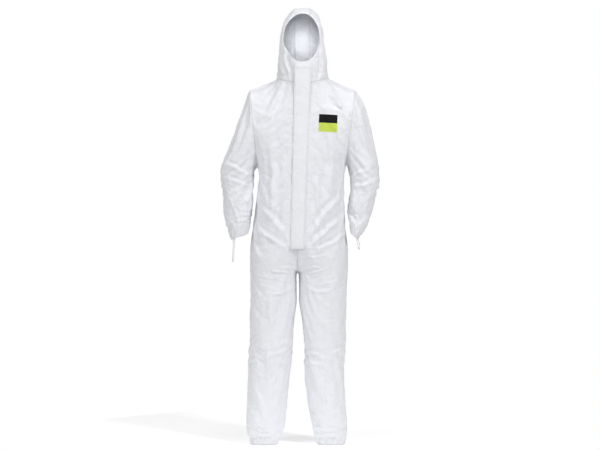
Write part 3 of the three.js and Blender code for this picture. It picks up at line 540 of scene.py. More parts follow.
def tables_folds():
    """(region, front, points, width, height, skew): ridges above nought, valleys below"""
    F = []
    def f(region, front, pts, w, h, skew=0.6, ends=(0, 0)): F.append((region, front, [px(*p) for p in pts], w, h, skew, ends))
    # neck to armpits
    f("body", True, [(284, 84), (275, 104), (262, 132)], 13, 5.0, 0.7)
    f("body", True, [(288, 96), (276, 118), (258, 142)], 10, 3.6, 0.7)
    f("body", True, [(279, 95), (268, 112), (256, 124)], 9, 2.6, 0.5)
    f("body", True, [(325, 84), (336, 104), (350, 127)], 12, 4.6, -0.7)
    f("body", True, [(330, 95), (342, 110), (354, 120)], 9, 2.8, -0.5)
    f("body", True, [(319, 98), (330, 125), (349, 150)], 11, 3.0, -0.6)
    # long soft verticals
    f("body", True, [(271, 128), (273, 180), (271, 232)], 15, 4.6, 0.6)
    f("body", True, [(265, 150), (264, 190), (266, 222)], 12, 2.6, 0.5)
    f("body", True, [(290, 190), (291, 222), (290, 247)], 9, 2.8, 0.6)
    f("body", True, [(330, 136), (331, 168), (328, 202)], 14, 4.0, -0.6)
    f("body", True, [(341, 140), (343, 170), (340, 200)], 11, 3.0, -0.5)
    f("body", True, [(318, 170), (317, 196), (314, 222)], 10, 2.2, -0.5)
    # diagonals to the crotch
    f("body", True, [(345, 193), (326, 211), (306, 242)], 12, 4.2, -0.7)
    f("body", True, [(346, 214), (326, 230), (303, 251)], 11, 4.0, -0.7)
    f("body", True, [(347, 232), (330, 243), (308, 256)], 8, 2.6, -0.6)
    f("body", True, [(259, 204), (273, 219), (290, 240)], 12, 3.6, 0.6)
    f("body", True, [(255, 226), (272, 238), (291, 252)], 10, 3.0, 0.6)
    f("body", True, [(306, 247), (314, 248), (324, 246)], 5, 2.4, 0.6)
    f("body", True, [(304, 256), (313, 257), (325, 254)], 4.5, 2.6, 0.6)
    f("body", True, [(279, 266), (288, 265), (296, 268)], 4.5, 2.4, 0.6)
    f("body", True, [(303, 268), (312, 265), (321, 266)], 4.5, 2.4, 0.6)
    f("legL", True, [(302, 274), (312, 272), (330, 266)], 6, 3.0, 0.6)
    f("legR", True, [(296, 274), (285, 272), (268, 268)], 6, 3.0, 0.6)
    f("legL", True, [(303, 285), (315, 290), (332, 289)], 8, 3.0, 0.5)
    f("legR", True, [(295, 286), (281, 292), (264, 292)], 8, 3.0, 0.5)
    # thighs and knees
    f("legR", True, [(268, 292), (271, 318), (270, 342)], 15, 3.6, 0.5)
    f("legR", True, [(293, 341), (286, 346), (278, 351)], 6, 3.6, 0.6)
    f("legR", True, [(269, 342), (268, 362), (269, 382)], 9, 4.0, 0.7)
    f("legR", True, [(256, 371), (262, 373), (269, 371)], 5, 3.2, 0.6)
    f("legR", True, [(252, 352), (262, 357), (274, 352)], 7, 2.8, 0.5)
    f("legR", True, [(284, 366), (280, 384), (276, 402)], 9, 3.2, -0.6)
    f("legR", True, [(256, 388), (262, 404), (266, 420)], 9, 3.0, 0.5)
    f("legL", True, [(327, 352), (336, 349), (346, 346)], 6, 3.6, 0.6)
    f("legL", True, [(336, 354), (340, 376), (345, 401)], 9, 4.0, -0.7)
    f("legL", True, [(303, 306), (309, 328), (317, 351)], 10, 3.8, -0.6)
    f("legL", True, [(331, 294), (328, 322), (330, 344)], 14, 3.4, -0.5)
    f("legL", True, [(306, 358), (316, 362), (327, 358)], 6, 2.8, 0.5)
    f("legL", True, [(318, 372), (323, 392), (326, 414)], 9, 3.0, 0.5)
    for k, reg in ((1, "legL"), (-1, "legR")):
        c = 329 if k > 0 else 265
        f(reg, True, [(c - 15, 424), (c - 4, 428), (c + 8, 425)], 5, 3.0, 0.6)
        f(reg, True, [(c - 8, 431), (c + 4, 433), (c + 16, 429)], 5, 2.6, 0.6)
    # the hood's neck folds
    f("hood", True, [(320, 46), (321, 62), (318, 80)], 7, -4.4, 0.5)
    f("hood", True, [(325, 54), (326, 68), (323, 82)], 7, 3.0, 0.5)
    f("hood", True, [(286, 48), (287, 62), (293, 77)], 7, -4.0, -0.5)
    f("hood", True, [(280, 52), (281, 66), (284, 80)], 7, 3.0, 0.5)
    # sleeves
    f("armR", True, [(222, 163), (236, 168), (252, 176)], 8, 4.2, 0.6)
    f("armR", True, [(224, 176), (236, 181), (250, 186)], 8, 3.2, 0.6)
    f("armR", True, [(247, 108), (240, 130), (234, 152)], 12, 3.4, 0.6)
    f("armR", True, [(249, 140), (243, 160), (232, 178)], 9, 3.0, 0.6)
    f("armR", True, [(230, 196), (236, 214), (240, 230)], 8, 2.6, 0.6)
    f("armR", True, [(250, 190), (246, 206), (246, 222)], 8, 2.6, -0.5)
    f("armL", True, [(349, 176), (358, 172), (368, 170)], 7, 4.2, 0.6)
    f("armL", True, [(350, 186), (362, 186), (376, 178)], 8, 3.4, 0.6)
    f("armL", True, [(357, 112), (363, 134), (368, 156)], 12, 3.4, -0.6)
    f("armL", True, [(352, 142), (358, 160), (370, 172)], 9, 3.0, -0.6)
    f("armL", True, [(352, 196), (355, 208), (357, 222)], 8, 2.8, -0.5)
    f("armL", True, [(370, 190), (367, 206), (366, 222)], 8, 2.6, 0.5)
    # behind: from the shoulder blades, below the waist, to the crotch, behind the knees
    for k in (-1, 1):
        r = lambda x: 300 + k * x
        sk = -0.6 * k
        f("body", False, [(r(16), 84), (r(30), 104), (r(48), 128)], 12, 4.0, sk)
        f("body", False, [(r(10), 96), (r(26), 124), (r(46), 150)], 12, 3.2, sk)
        f("body", False, [(r(28), 130), (r(29), 162), (r(26), 190)], 15, 3.8, sk)
        f("body", False, [(r(34), 204), (r(36), 232), (r(30), 256)], 14, 4.0, sk)
        f("body", False, [(r(12), 200), (r(15), 222), (r(10), 246)], 12, 3.2, sk)
        f("body", False, [(r(44), 216), (r(26), 238), (r(6), 258)], 10, 3.6, -sk)
        f("body", False, [(r(46), 240), (r(26), 254), (r(6), 266)], 7, 3.0, -sk)
        reg = "legL" if k > 0 else "legR"
        f(reg, False, [(r(8), 276), (r(22), 274), (r(40), 266)], 7, 3.2, 0.6)
        f(reg, False, [(r(6), 288), (r(22), 290), (r(42), 284)], 8, 2.8, 0.6)
        f(reg, False, [(r(12), 344), (r(26), 350), (r(44), 345)], 7, 4.0, 0.6)
        f(reg, False, [(r(10), 354), (r(26), 361), (r(46), 357)], 7, 3.6, 0.6)
        f(reg, False, [(r(12), 366), (r(28), 371), (r(46), 366)], 8, 3.0, 0.6)
        f(reg, False, [(r(30), 376), (r(27), 398), (r(32), 420)], 10, 3.4, sk)
        f(reg, False, [(r(34), 296), (r(30), 318), (r(33), 340)], 14, 3.2, sk)
        f("hood", False, [(r(6), 62), (r(8), 76), (r(4), 86)], 8, 3.0, sk)
        f("hood", False, [(r(16), 58), (r(20), 72), (r(22), 84)], 8, 3.0, sk)
        reg = "armL" if k > 0 else "armR"
        f(reg, False, [(r(58), 168), (r(68), 172), (r(76), 168)], 7, 3.6, 0.6)
        f(reg, False, [(r(56), 180), (r(66), 185), (r(76), 180)], 7, 3.0, 0.6)
        f(reg, False, [(r(58), 110), (r(64), 134), (r(70), 158)], 12, 3.2, sk)
    return F

def regions(S):
    aL, aR = beyond("left", S), beyond("right", S)
    z = S[:, 2]; neck = z - neckZ(S)
    low = (z < 45) & (z > -760)
    armL = sstep(0, 14, aL) * low; armR = sstep(0, 14, aR) * low
    hood = sstep(0, 12, neck) * (aL < 0) * (aR < 0)
    isArm = ((aL > 0) | (aR > 0)) & low
    body = (~isArm) * sstep(0, 10, -neck) * (z > CROTCH - 1) * np.where(z > -345, sstep(0, 14, -np.maximum(aL, aR)), 1.0)
    legs = (~isArm) * (z < CROTCH + 40) * sstep(CROTCH + 40, CROTCH - 10, z)
    left = S[:, 0] > -9.5
    return {"armL": armL, "armR": armR, "hood": hood, "body": body, "legL": legs * left, "legR": legs * ~left}

def seam_distance(S, R):
    """distance in mm to the nearest sewn line, over the surface"""
    aL, aR = beyond("left", S), beyond("right", S); z = S[:, 2]; y = S[:, 1]; x = S[:, 0]
    low = (z < 45) & (z > -365); d = np.full(len(S), 60.0)
    isArm = ((aL > 0) | (aR > 0)) & (z < 45) & (z > -760)
    for a in (aL, aR): d = np.where(low, np.minimum(d, np.abs(a)), d)
    neck = z - neckZ(S)
    d = np.minimum(d, np.where(np.abs(x - 10) < 112, np.abs(neck), 60))
    trunk = ~isArm & (neck < 0)
    d = np.where(trunk, np.minimum(d, np.abs(y)), d)
    mid = trunk & (z > -775) & ((y > 0) | (z < ZIP_BOTTOM))
    d = np.where(mid, np.minimum(d, np.abs(x - zipX(z))), d)
    gus = trunk & (z < -745) & (z > -800)
    box = np.maximum(np.abs(y) - 52, np.where(z < -756, -785 - z, -60)); box = np.where(np.abs(x + 10) < 45, box, 60)
    d = np.where(gus, np.minimum(d, np.abs(box)), d)
    hood = (neck > 0) & ~isArm & ((y > 0) | (z > 200))
    d = np.where(hood, np.minimum(d, np.abs(np.abs(x - hoodX(z)) - 32)), d)
    return d

def around(S, R):
    """the angle round the limb, and the distance above the limb's open end"""
    ang = np.zeros(len(S)); rise = np.full(len(S), 1e3)
    for side, reg in (("left", 1), ("right", -1)):
        m = (beyond(side, S) > 0) & (S[:, 2] < 40) & (S[:, 2] > -760)
        r = np.array(RINGS[side][13], float)
        cx, cy = (r[0] + r[2]) / 2, r[5]
        ang = np.where(m, np.arctan2(R[:, 1] - cy, R[:, 0] - cx), ang)
        rise = np.where(m, cuffField(side, S), rise)
        leg = (S[:, 2] < CROTCH) & ~((beyond("left", S) > 0) & (S[:, 2] > -760)) & ((S[:, 0] > -9.5) == (reg > 0))
        c = (along(SIDE[side]["inner"], S[:, 2]) + along(SIDE[side]["outer"], S[:, 2])) / 2
        ang = np.where(leg, np.arctan2(R[:, 1], R[:, 0] - c), ang)
        rise = np.where(leg, S[:, 2] + 1451, rise)
    return ang, rise

def fold_offsets(S, R, N):
    """how far each point moves along its normal, in mm"""
    W = regions(S); XZ = R[:, [0, 2]]; D = np.zeros(len(S))
    warp = np.stack([noise3(R / 46.0, 11), noise3(R / 46.0, 12)], 1) * 5.0
    XZw = XZ + warp
    frontW, backW = sstep(0.15, -0.35, N[:, 1]), sstep(-0.15, 0.35, N[:, 1])
    zipClear = np.where((S[:, 1] < 0) & (S[:, 2] > -690) & (S[:, 2] < 80), sstep(30, 58, np.abs(S[:, 0] - zipX(S[:, 2]))), 1.0)
    for region, front, pts, w, h, skew, ends in tables_folds():
        P = np.array(pts); lo = P.min(0) - 4 * w; hi = P.max(0) + 4 * w
        face = frontW if front else backW
        m = np.nonzero((XZw[:, 0] > lo[0]) & (XZw[:, 0] < hi[0]) & (XZw[:, 1] > lo[1]) & (XZw[:, 1] < hi[1]) & (W[region] > 0) & (face > 0))[0]
        if not len(m): continue
        sd, u = polyline_distance(XZw[m], pts)
        e = np.sin(np.pi * np.clip(0.04 + 0.92 * u, 0, 1)) ** 0.8
        L = np.abs(sd) / w
        prof = np.exp(-(sd / w) ** 2) - abs(skew) * np.exp(-((sd - np.sign(skew) * 1.55 * w) / (0.95 * w)) ** 2)
        past = np.where((u <= 0) | (u >= 1), np.exp(-(sd / w) ** 2 * 2), 1)
        D[m] += {"b": 1.55, "l": 1.55, "a": 1.2, "h": 1.5}[region[0]] * h * e * prof * W[region][m] * face[m] * past
    # the loose cloth's own unevenness
    turn = np.array([[0.74, 0.52, 0.43], [-0.61, 0.78, 0.11], [-0.28, -0.35, 0.90]]).T
    T = R @ turn
    g1 = noise3(T / np.array([70.0, 70.0, 130.0]), 1); g2 = noise3(T / np.array([30.0, 30.0, 62.0]), 2)
    q = T + 22 * np.stack([noise3(R / 60.0, 5), noise3(R / 60.0, 6), noise3(R / 60.0, 7)], 1)
    crease = 1 - np.abs(noise3(q / np.array([38.0, 44.0, 60.0]), 3)); crease2 = 1 - np.abs(noise3(q / np.array([19.0, 22.0, 26.0]), 4))
    D += 2.6 * g1 + 1.0 * g2 - 1.1 * crease ** 7 - 0.4 * crease2 ** 6 + 0.35 * noise3(R / 9.0, 8)
    # rings of soft folds where limbs bend or cloth bunches
    ang, rise = around(S, R)
    for side, reg, z0 in (("left", "armL", 235.0), ("right", "armR", 225.0)):
        t = rise + 16 * np.cos(ang + (0.5 if side == "left" else 2.4)) + 9 * noise3(R / 40.0, 21)
        D += W[reg] * 1.6 * np.exp(-((rise - z0) / 62.0) ** 2) * np.sin(2 * np.pi * t / 31.0)
        t2 = rise + 12 * np.sin(ang * 1.0 + 1.0) + 8 * noise3(R / 30.0, 22)
        D += W[reg] * 1.3 * np.exp(-((rise - 58) / 34.0) ** 2) * np.sin(2 * np.pi * t2 / 23.0)
    for reg, ph in (("legL", 0.4), ("legR", 2.2)):
        t = R[:, 2] + 20 * np.cos(ang - ph) + 12 * noise3(R / 50.0, 23)
        D += W[reg] * 2.2 * np.exp(-((R[:, 2] + 1085) / 55.0) ** 2) * np.sin(2 * np.pi * t / 37.0)
        t = R[:, 2] + 14 * np.sin(ang * 1.0 + ph) + 9 * noise3(R / 34.0, 24)
        D += W[reg] * 1.3 * np.exp(-((rise - 55) / 30.0) ** 2) * np.sin(2 * np.pi * t / 27.0)
        D += W[reg] * 0.8 * np.exp(-((R[:, 2] + 795) / 34.0) ** 2) * np.sin(2 * np.pi * (R[:, 2] - 0.25 * np.abs(R[:, 0] + 10) + 7 * noise3(R / 30.0, 25)) / 22.0)
    # gathers round the elastic
    arm = W["armL"] + W["armR"]; leg = W["legL"] + W["legR"]
    wob = noise3(np.stack([np.cos(ang) * 4, np.sin(ang) * 4, rise / 45.0], 1), 31)
    D += arm * np.sin(22 * ang + 3.2 * wob) * (1.9 * np.exp(-np.abs(rise - 12) / 26.0))
    D += leg * np.sin(34 * ang + 3.6 * wob) * (2.1 * np.exp(-np.abs(rise - 14) / 30.0))
    D -= arm * 1.6 * np.exp(-((rise - 20) / 6.0) ** 2) + leg * 1.0 * np.exp(-((rise - 26) / 7.0) ** 2)
    f = faceField(S); near = (np.sqrt(np.maximum(f + 1, 0)) - 1) * 80
    opening = np.where((S[:, 1] < 0) & (S[:, 2] > 55), 1.0, 0.0)
    phi = np.arctan2(S[:, 2] - FACE_MID, S[:, 0] - hoodX(S[:, 2]))
    wob2 = noise3(np.stack([np.cos(phi) * 5, np.sin(phi) * 5, near / 25.0], 1), 32)
    D += opening * np.sin(62 * phi + 3 * wob2) * 0.95 * np.exp(-np.abs(near - 6) / 13.0)
    D += opening * (1.3 * np.exp(-((near - 5) / 4.5) ** 2) - 1.2 * np.exp(-((near - 12.5) / 3.0) ** 2))
    waist = np.where(S[:, 1] > 0, W["body"], 0) * sstep(140, 105, np.abs(R[:, 0]))
    D += waist * (np.sin(2 * np.pi * R[:, 0] / 13.0 + 2.5 * noise3(R / 24.0, 33)) * 2.0 * np.exp(-((R[:, 2] + 455) / 30.0) ** 2) - 5.0 * np.exp(-((R[:, 2] + 455) / 20.0) ** 2))
    # sewn lines pull in and pucker
    sd = seam_distance(S, R)
    D = D * (0.35 + 0.65 * sstep(0, 16, sd))
    D += -1.1 * np.exp(-(sd / 2.4) ** 2) + 0.55 * noise3(R / 6.5, 41) * np.exp(-sd / 9.0) + 0.5 * np.exp(-((sd - 6) / 3.5) ** 2)
    D = D * (0.12 + 0.88 * zipClear)
    lbl = np.maximum(np.abs(R[:, 0] - 110) / 48, np.abs(R[:, 2] + 173) / 46)
    D = np.where(S[:, 1] < 0, D * lerp(0.45, 1.0, sstep(0.9, 1.5, lbl)), D)
    return D, sd

# ------------------------------------------------------------------ from the shell to separate panels
def mesh_arrays(me):
    n = len(me.vertices); co = np.zeros(n * 3); me.vertices.foreach_get("co", co)
    no = np.zeros(n * 3); me.vertices.foreach_get("normal", no)
    return co.reshape(-1, 3), no.reshape(-1, 3)

def attribute(me, name, width=3):
    a = me.attributes[name]; v = np.zeros(len(me.vertices) * width)
    a.data.foreach_get("vector" if width == 3 else "value", v)
    return v.reshape(-1, 3) if width == 3 else v

def subdivided(ob, levels=1):
    m = ob.modifiers.new("s", "SUBSURF"); m.levels = levels; m.render_levels = levels
    dg = bpy.context.evaluated_depsgraph_get()
    me = bpy.data.meshes.new_from_object(ob.evaluated_get(dg), preserve_all_data_layers=True, depsgraph=dg)
    ob.modifiers.clear(); ob.data = me
    return ob

def normals_of(co, faces3):
    """vertex normals from triangles, weighted by area"""
    a, b, c = co[faces3[:, 0]], co[faces3[:, 1]], co[faces3[:, 2]]
    fn = np.cross(b - a, c - a); out = np.zeros_like(co)
    for k in range(3): np.add.at(out, faces3[:, k], fn)
    return out / np.maximum(np.linalg.norm(out, axis=1), 1e-12)[:, None]

def sheet_piece(name, verts, normals, polys, thick, attrs, mat, rim_mat=None):
    """a closed sheet: verts is its outer face in metres, and the inner face is thick metres behind"""
    used = np.unique(np.concatenate([np.array(p) for p in polys])); idx = -np.ones(len(verts), int); idx[used] = np.arange(len(used))
    k = len(used); V = np.vstack([verts[used], verts[used] - normals[used] * thick])
    count = {}
    F = []; kind = []
    for p in polys:
        q = [int(idx[i]) for i in p]; F.append(q); kind.append(0)
        for i in range(len(q)):
            e = (q[i], q[(i + 1) % len(q)]); count[e] = count.get(e, 0) + 1
    nf = len(F)
    for q in list(F): F.append([i + k for i in q[::-1]]); kind.append(1)
    rim = [e for e in count if (e[1], e[0]) not in count]
    for a, b in rim: F.append([b, a, a + k, b + k]); kind.append(2)
    me = bpy.data.meshes.new(name); me.from_pydata(V.tolist(), [], F); me.update()
    me.polygons.foreach_set("use_smooth", np.ones(len(F), bool))
    N = normals[used]; fnorm = np.zeros(len(F) * 3); me.polygons.foreach_get("normal", fnorm); fnorm = fnorm.reshape(-1, 3)
    lv = np.zeros(len(me.loops), int); me.loops.foreach_get("vertex_index", lv)
    tot = np.zeros(len(F), int); me.polygons.foreach_get("loop_total", tot)
    lk = np.repeat(np.array(kind), tot); lf = np.repeat(np.arange(len(F)), tot)
    ln = np.where((lk == 0)[:, None], N[lv % k], np.where((lk == 1)[:, None], -N[lv % k], fnorm[lf]))
    ln /= np.maximum(np.linalg.norm(ln, axis=1), 1e-9)[:, None]
    for an, data in attrs.items():
        a = me.attributes.new(an, "FLOAT", "POINT"); a.data.foreach_set("value", np.tile(data[used], 2).astype(np.float32))
    me.normals_split_custom_set(ln.tolist())
    ob = bpy.data.objects.new(name, me); bpy.context.scene.collection.objects.link(ob)
    me.materials.append(mat)
    return ob, used

# ------------------------------------------------------------------ the cloth settles: held by its form, a little too big for it
def settle(ob, frames=22, grow=-0.045, cap=11.0):
    S = attribute(ob.data, "spread"); R = attribute(ob.data, "rest"); n = len(S)
    W = regions(S); sd = seam_distance(S, R); ang, rise = around(S, R)
    hold = np.full(n, 0.10)
    hold = np.maximum(hold, 0.9 * np.exp(-sd / 5.0) * 0.6)
    zipNear = (S[:, 1] < 0) & (S[:, 2] > -690) & (S[:, 2] < 80)
    hold = np.where(zipNear, np.maximum(hold, sstep(46, 22, np.abs(S[:, 0] - zipX(S[:, 2])))), hold)
    f = faceField(S); near = (np.sqrt(np.maximum(f + 1, 0)) - 1) * 80
    hold = np.where((S[:, 1] < 0) & (S[:, 2] > 55), np.maximum(hold, sstep(20, 6, near)), hold)
    hold = np.maximum(hold, sstep(30, 12, rise))
    hold = np.where((S[:, 1] > 0) & (np.abs(S[:, 2] + 455) < 10), 0.8, hold)
    hold = np.where(np.abs(S[:, 2] - neckZ(S)) < 6, 0.9, hold)
    gus = (S[:, 2] < -735) & (S[:, 2] > -800) & (np.abs(S[:, 0] + 10) < 40) & (np.abs(S[:, 1]) < 70)
    hold = np.where(gus, 1.0, hold)
    inner = (S[:, 2] < -756) & (np.abs(R[:, 0] + 10) < 22) & (S[:, 2] > -960)
    hold = np.where(inner, np.maximum(hold, 0.5), hold)
    lbl = np.maximum(np.abs(R[:, 0] - 110) / 44, np.abs(R[:, 2] + 173) / 42)
    hold = np.where((S[:, 1] < 0) & (lbl < 1.1), np.maximum(hold, 0.55), hold)
    g = ob.vertex_groups.new(name="hold")
    q = np.round(hold, 2)
    for val in np.unique(q): g.add(np.nonzero(q == val)[0].tolist(), float(min(1.0, val)), "REPLACE")
    # more spare cloth where the limbs bend, under the arms and at the crotch
    loose = 0.25 + 0.75 * np.clip(W["armL"] + W["armR"] + np.exp(-((R[:, 2] + 1080) / 90.0) ** 2) + np.exp(-((R[:, 2] + 770) / 70.0) ** 2) + np.exp(-((R[:, 2] + 1400) / 40.0) ** 2) + 0.7 * np.exp(-((R[:, 2] - 20) / 50.0) ** 2), 0, 1)
    g2 = ob.vertex_groups.new(name="loose")
    q = np.round(loose, 2)
    for val in np.unique(q): g2.add(np.nonzero(q == val)[0].tolist(), float(val), "REPLACE")
    before, _ = mesh_arrays(ob.data)
    m = ob.modifiers.new("cloth", "CLOTH"); c = m.settings
    c.quality = 5; c.mass = 0.12; c.air_damping = 3.0
    c.tension_stiffness = 22; c.compression_stiffness = 22; c.shear_stiffness = 9; c.bending_stiffness = 0.35
    c.tension_damping = 8; c.compression_damping = 8; c.shear_damping = 8; c.bending_damping = 0.5
    c.vertex_group_mass = "hold"; c.pin_stiffness = 1.0
    c.vertex_group_shrink = "loose"; c.shrink_min = grow * 0.3; c.shrink_max = grow
    c.effector_weights.gravity = 0.35
    m.collision_settings.use_collision = False; m.collision_settings.use_self_collision = False
    m.point_cache.frame_start = 1; m.point_cache.frame_end = frames + 1
    sc = bpy.context.scene
    for k in range(1, frames + 1): sc.frame_set(k)
    dg = bpy.context.evaluated_depsgraph_get(); ev = ob.evaluated_get(dg)
    after, _ = mesh_arrays(ev.data)
    ob.modifiers.remove(m); sc.frame_set(1)
    d = (after - before) / MM; L = np.linalg.norm(d, axis=1)
    d *= (cap * np.tanh(L / cap) / np.maximum(L, 1e-9))[:, None]
    ob.vertex_groups.clear()
    ob.data.vertices.foreach_set("co", (before + d * MM).ravel()); ob.data.update()
    return L

# ------------------------------------------------------------------ materials
def new_material(name):
    m = bpy.data.materials.new(name); m.use_nodes = True
    nt = m.node_tree; nt.nodes.clear()
    out = nt.nodes.new("ShaderNodeOutputMaterial"); b = nt.nodes.new("ShaderNodeBsdfPrincipled")
    nt.links.new(b.outputs[0], out.inputs[0])
    return m, nt, b

def node(nt, kind, **kw):
    n = nt.nodes.new(kind)
    for k, v in kw.items():
        if k.startswith("in_"): n.inputs[int(k[3:]) if k[3:].isdigit() else k[3:]].default_value = v
        else: setattr(n, k, v)
    return n

def ramp(nt, src, stops):
    r = nt.nodes.new("ShaderNodeValToRGB"); cr = r.color_ramp
    while len(cr.elements) < len(stops): cr.elements.new(0.5)
    for e, (p, c) in zip(cr.elements, stops): e.position = p; e.color = (*c, 1) if len(c) == 3 else (c[0], c[0], c[0], 1)
    nt.links.new(src, r.inputs[0]); return r

def fabric_material(name="suit_fabric", tint=(0.80, 0.81, 0.845), stitched=True, inside=False):
    m, nt, b = new_material(name); L = nt.links.new
    tc = node(nt, "ShaderNodeTexCoord")
    big = node(nt, "ShaderNodeTexNoise"); big.inputs["Scale"].default_value = 9; big.inputs["Detail"].default_value = 5
    fibre = node(nt, "ShaderNodeTexNoise"); fibre.inputs["Scale"].default_value = 420; fibre.inputs["Detail"].default_value = 6; fibre.inputs["Roughness"].default_value = 0.7
    swirl = node(nt, "ShaderNodeTexNoise"); swirl.inputs["Scale"].default_value = 75; swirl.inputs["Detail"].default_value = 7; swirl.inputs["Distortion"].default_value = 1.6
    dots = node(nt, "ShaderNodeTexVoronoi"); dots.feature = "F1"; dots.inputs["Scale"].default_value = 560; dots.inputs["Randomness"].default_value = 0.22
    for t in (big, fibre, swirl, dots): L(tc.outputs["Object"], t.inputs["Vector"])
    c1 = ramp(nt, big.outputs[0], [(0.3, tuple(v * 0.975 for v in tint)), (0.7, tint)])
    c2 = ramp(nt, swirl.outputs[0], [(0.3, (0.955,)), (0.62, (1.0,))])
    mul = node(nt, "ShaderNodeMix", data_type="RGBA", blend_type="MULTIPLY"); mul.inputs[0].default_value = 1.0
    L(c1.outputs[0], mul.inputs[6]); L(c2.outputs[0], mul.inputs[7])
    src = mul.outputs[2]
    at = node(nt, "ShaderNodeAttribute", attribute_name="seam")
    # painted shade along each sewn line: the fabric colour is darkened to 0.86 on the line and fades out within about 6
    # mm
    line = ramp(nt, at.outputs["Fac"], [(0.0, (0.86,)), (0.020, (0.90,)), (0.05, (0.985,)), (0.10, (1.0,))])
    mul2 = node(nt, "ShaderNodeMix", data_type="RGBA", blend_type="MULTIPLY"); mul2.inputs[0].default_value = 1.0
    L(src, mul2.inputs[6]); L(line.outputs[0], mul2.inputs[7]); src = mul2.outputs[2]
    L(src, b.inputs["Base Color"])
    rr = ramp(nt, swirl.outputs[0], [(0.35, (0.50,)), (0.65, (0.62,))]); L(rr.outputs[0], b.inputs["Roughness"])
    b.inputs["Sheen Weight"].default_value = 0.18; b.inputs["Sheen Roughness"].default_value = 0.45
    b.inputs["Specular IOR Level"].default_value = 0.38
    if not inside:
        b.inputs["Subsurface Weight"].default_value = 0.0
    # micro-embossed dots, fibre swirls and fine crumples
    b1 = node(nt, "ShaderNodeBump"); b1.inputs["Strength"].default_value = 0.22; b1.inputs["Distance"].default_value = 0.0003
    L(dots.outputs["Distance"], b1.inputs["Height"])
    b2 = node(nt, "ShaderNodeBump"); b2.inputs["Strength"].default_value = 0.30; b2.inputs["Distance"].default_value = 0.0004
    L(fibre.outputs[0], b2.inputs["Height"]); L(b1.outputs[0], b2.inputs["Normal"])
    cr = node(nt, "ShaderNodeTexNoise"); cr.inputs["Scale"].default_value = 24; cr.inputs["Detail"].default_value = 4; cr.inputs["Distortion"].default_value = 0.8
    L(tc.outputs["Object"], cr.inputs["Vector"])
    cm = node(nt, "ShaderNodeMath", operation="SUBTRACT"); L(cr.outputs[0], cm.inputs[0]); cm.inputs[1].default_value = 0.5
    ca = node(nt, "ShaderNodeMath", operation="ABSOLUTE"); L(cm.outputs[0], ca.inputs[0])
    cp = ramp(nt, ca.outputs[0], [(0.0, (0.0,)), (0.10, (1.0,))])
    b3 = node(nt, "ShaderNodeBump"); b3.inputs["Strength"].default_value = 0.34; b3.inputs["Distance"].default_value = 0.0016
    L(cp.outputs[0], b3.inputs["Height"]); L(b2.outputs[0], b3.inputs["Normal"])
    last = b3
    if stitched:
        # needle holes along each seam, about 3 mm apart
        wv = node(nt, "ShaderNodeTexVoronoi"); wv.feature = "F1"; wv.inputs["Scale"].default_value = 330; wv.inputs["Randomness"].default_value = 0.4
        L(tc.outputs["Object"], wv.inputs["Vector"])
        band = ramp(nt, at.outputs["Fac"], [(0.0, (0.0,)), (0.03, (0.9,)), (0.055, (1.0,)), (0.09, (0.0,))])
        mm = node(nt, "ShaderNodeMath", operation="MULTIPLY"); L(wv.outputs["Distance"], mm.inputs[0]); L(band.outputs[0], mm.inputs[1])
        b4 = node(nt, "ShaderNodeBump"); b4.inputs["Strength"].default_value = 0.6; b4.inputs["Distance"].default_value = 0.0012
        L(mm.outputs[0], b4.inputs["Height"]); L(last.outputs[0], b4.inputs["Normal"]); last = b4
    L(last.outputs[0], b.inputs["Normal"])
    return m

def ribbed_material(name, colour, scale, rough=0.7, strength=0.5, axis=2, vary=0.06):
    """woven tape or printed tape: fine ribs along one axis over a slightly uneven colour"""
    m, nt, b = new_material(name); L = nt.links.new
    tc = node(nt, "ShaderNodeTexCoord"); w = node(nt, "ShaderNodeTexWave"); w.bands_direction = "XYZ"[axis]; w.inputs["Scale"].default_value = scale
    w.inputs["Distortion"].default_value = 0.6; L(tc.outputs["Object"], w.inputs["Vector"])
    n = node(nt, "ShaderNodeTexNoise"); n.inputs["Scale"].default_value = 160; n.inputs["Detail"].default_value = 5; L(tc.outputs["Object"], n.inputs["Vector"])
    r = ramp(nt, n.outputs[0], [(0.3, tuple(c * (1 - vary) for c in colour)), (0.7, tuple(min(1, c * (1 + vary)) for c in colour))])
    L(r.outputs[0], b.inputs["Base Color"])
    rr = ramp(nt, n.outputs[0], [(0.3, (rough - 0.06,)), (0.7, (rough + 0.06,))]); L(rr.outputs[0], b.inputs["Roughness"])
    bp = node(nt, "ShaderNodeBump"); bp.inputs["Strength"].default_value = strength; bp.inputs["Distance"].default_value = 0.0003
    L(w.outputs["Fac"], bp.inputs["Height"]); b2 = node(nt, "ShaderNodeBump"); b2.inputs["Strength"].default_value = 0.2; b2.inputs["Distance"].default_value = 0.0002
    L(n.outputs[0], b2.inputs["Height"]); L(bp.outputs[0], b2.inputs["Normal"]); L(b2.outputs[0], b.inputs["Normal"])
    return m

FABRIC = fabric_material()
HEM = fabric_material("gathered_hem", (0.79, 0.80, 0.83))
FLAP = fabric_material("flap_fabric", (0.815, 0.825, 0.855))
TAPE = ribbed_material("zip_tape_weave", (0.74, 0.745, 0.76), 620, 0.8, 0.5, 2)
PLASTIC = ribbed_material("zip_plastic", (0.72, 0.725, 0.74), 300, 0.34, 0.08, 0, 0.02)
CORD = ribbed_material("elastic_cord", (0.70, 0.705, 0.72), 900, 0.75, 0.6, 2)
CLOSE = ribbed_material("closing_tape", (0.83, 0.83, 0.80), 120, 0.42, 0.12, 2, 0.02)
LABEL_WHITE = ribbed_material("label_border", (0.80, 0.80, 0.80), 800, 0.62, 0.3, 2, 0.02)
LABEL_BLACK = ribbed_material("label_black", (0.004, 0.004, 0.005), 800, 0.72, 0.3, 2, 0.1)
LABEL_BLACK.node_tree.nodes["Principled BSDF"].inputs["Specular IOR Level"].default_value = 0.2
LABEL_LIME = ribbed_material("label_lime", (0.545, 0.665, 0.075), 800, 0.55, 0.3, 2, 0.03)
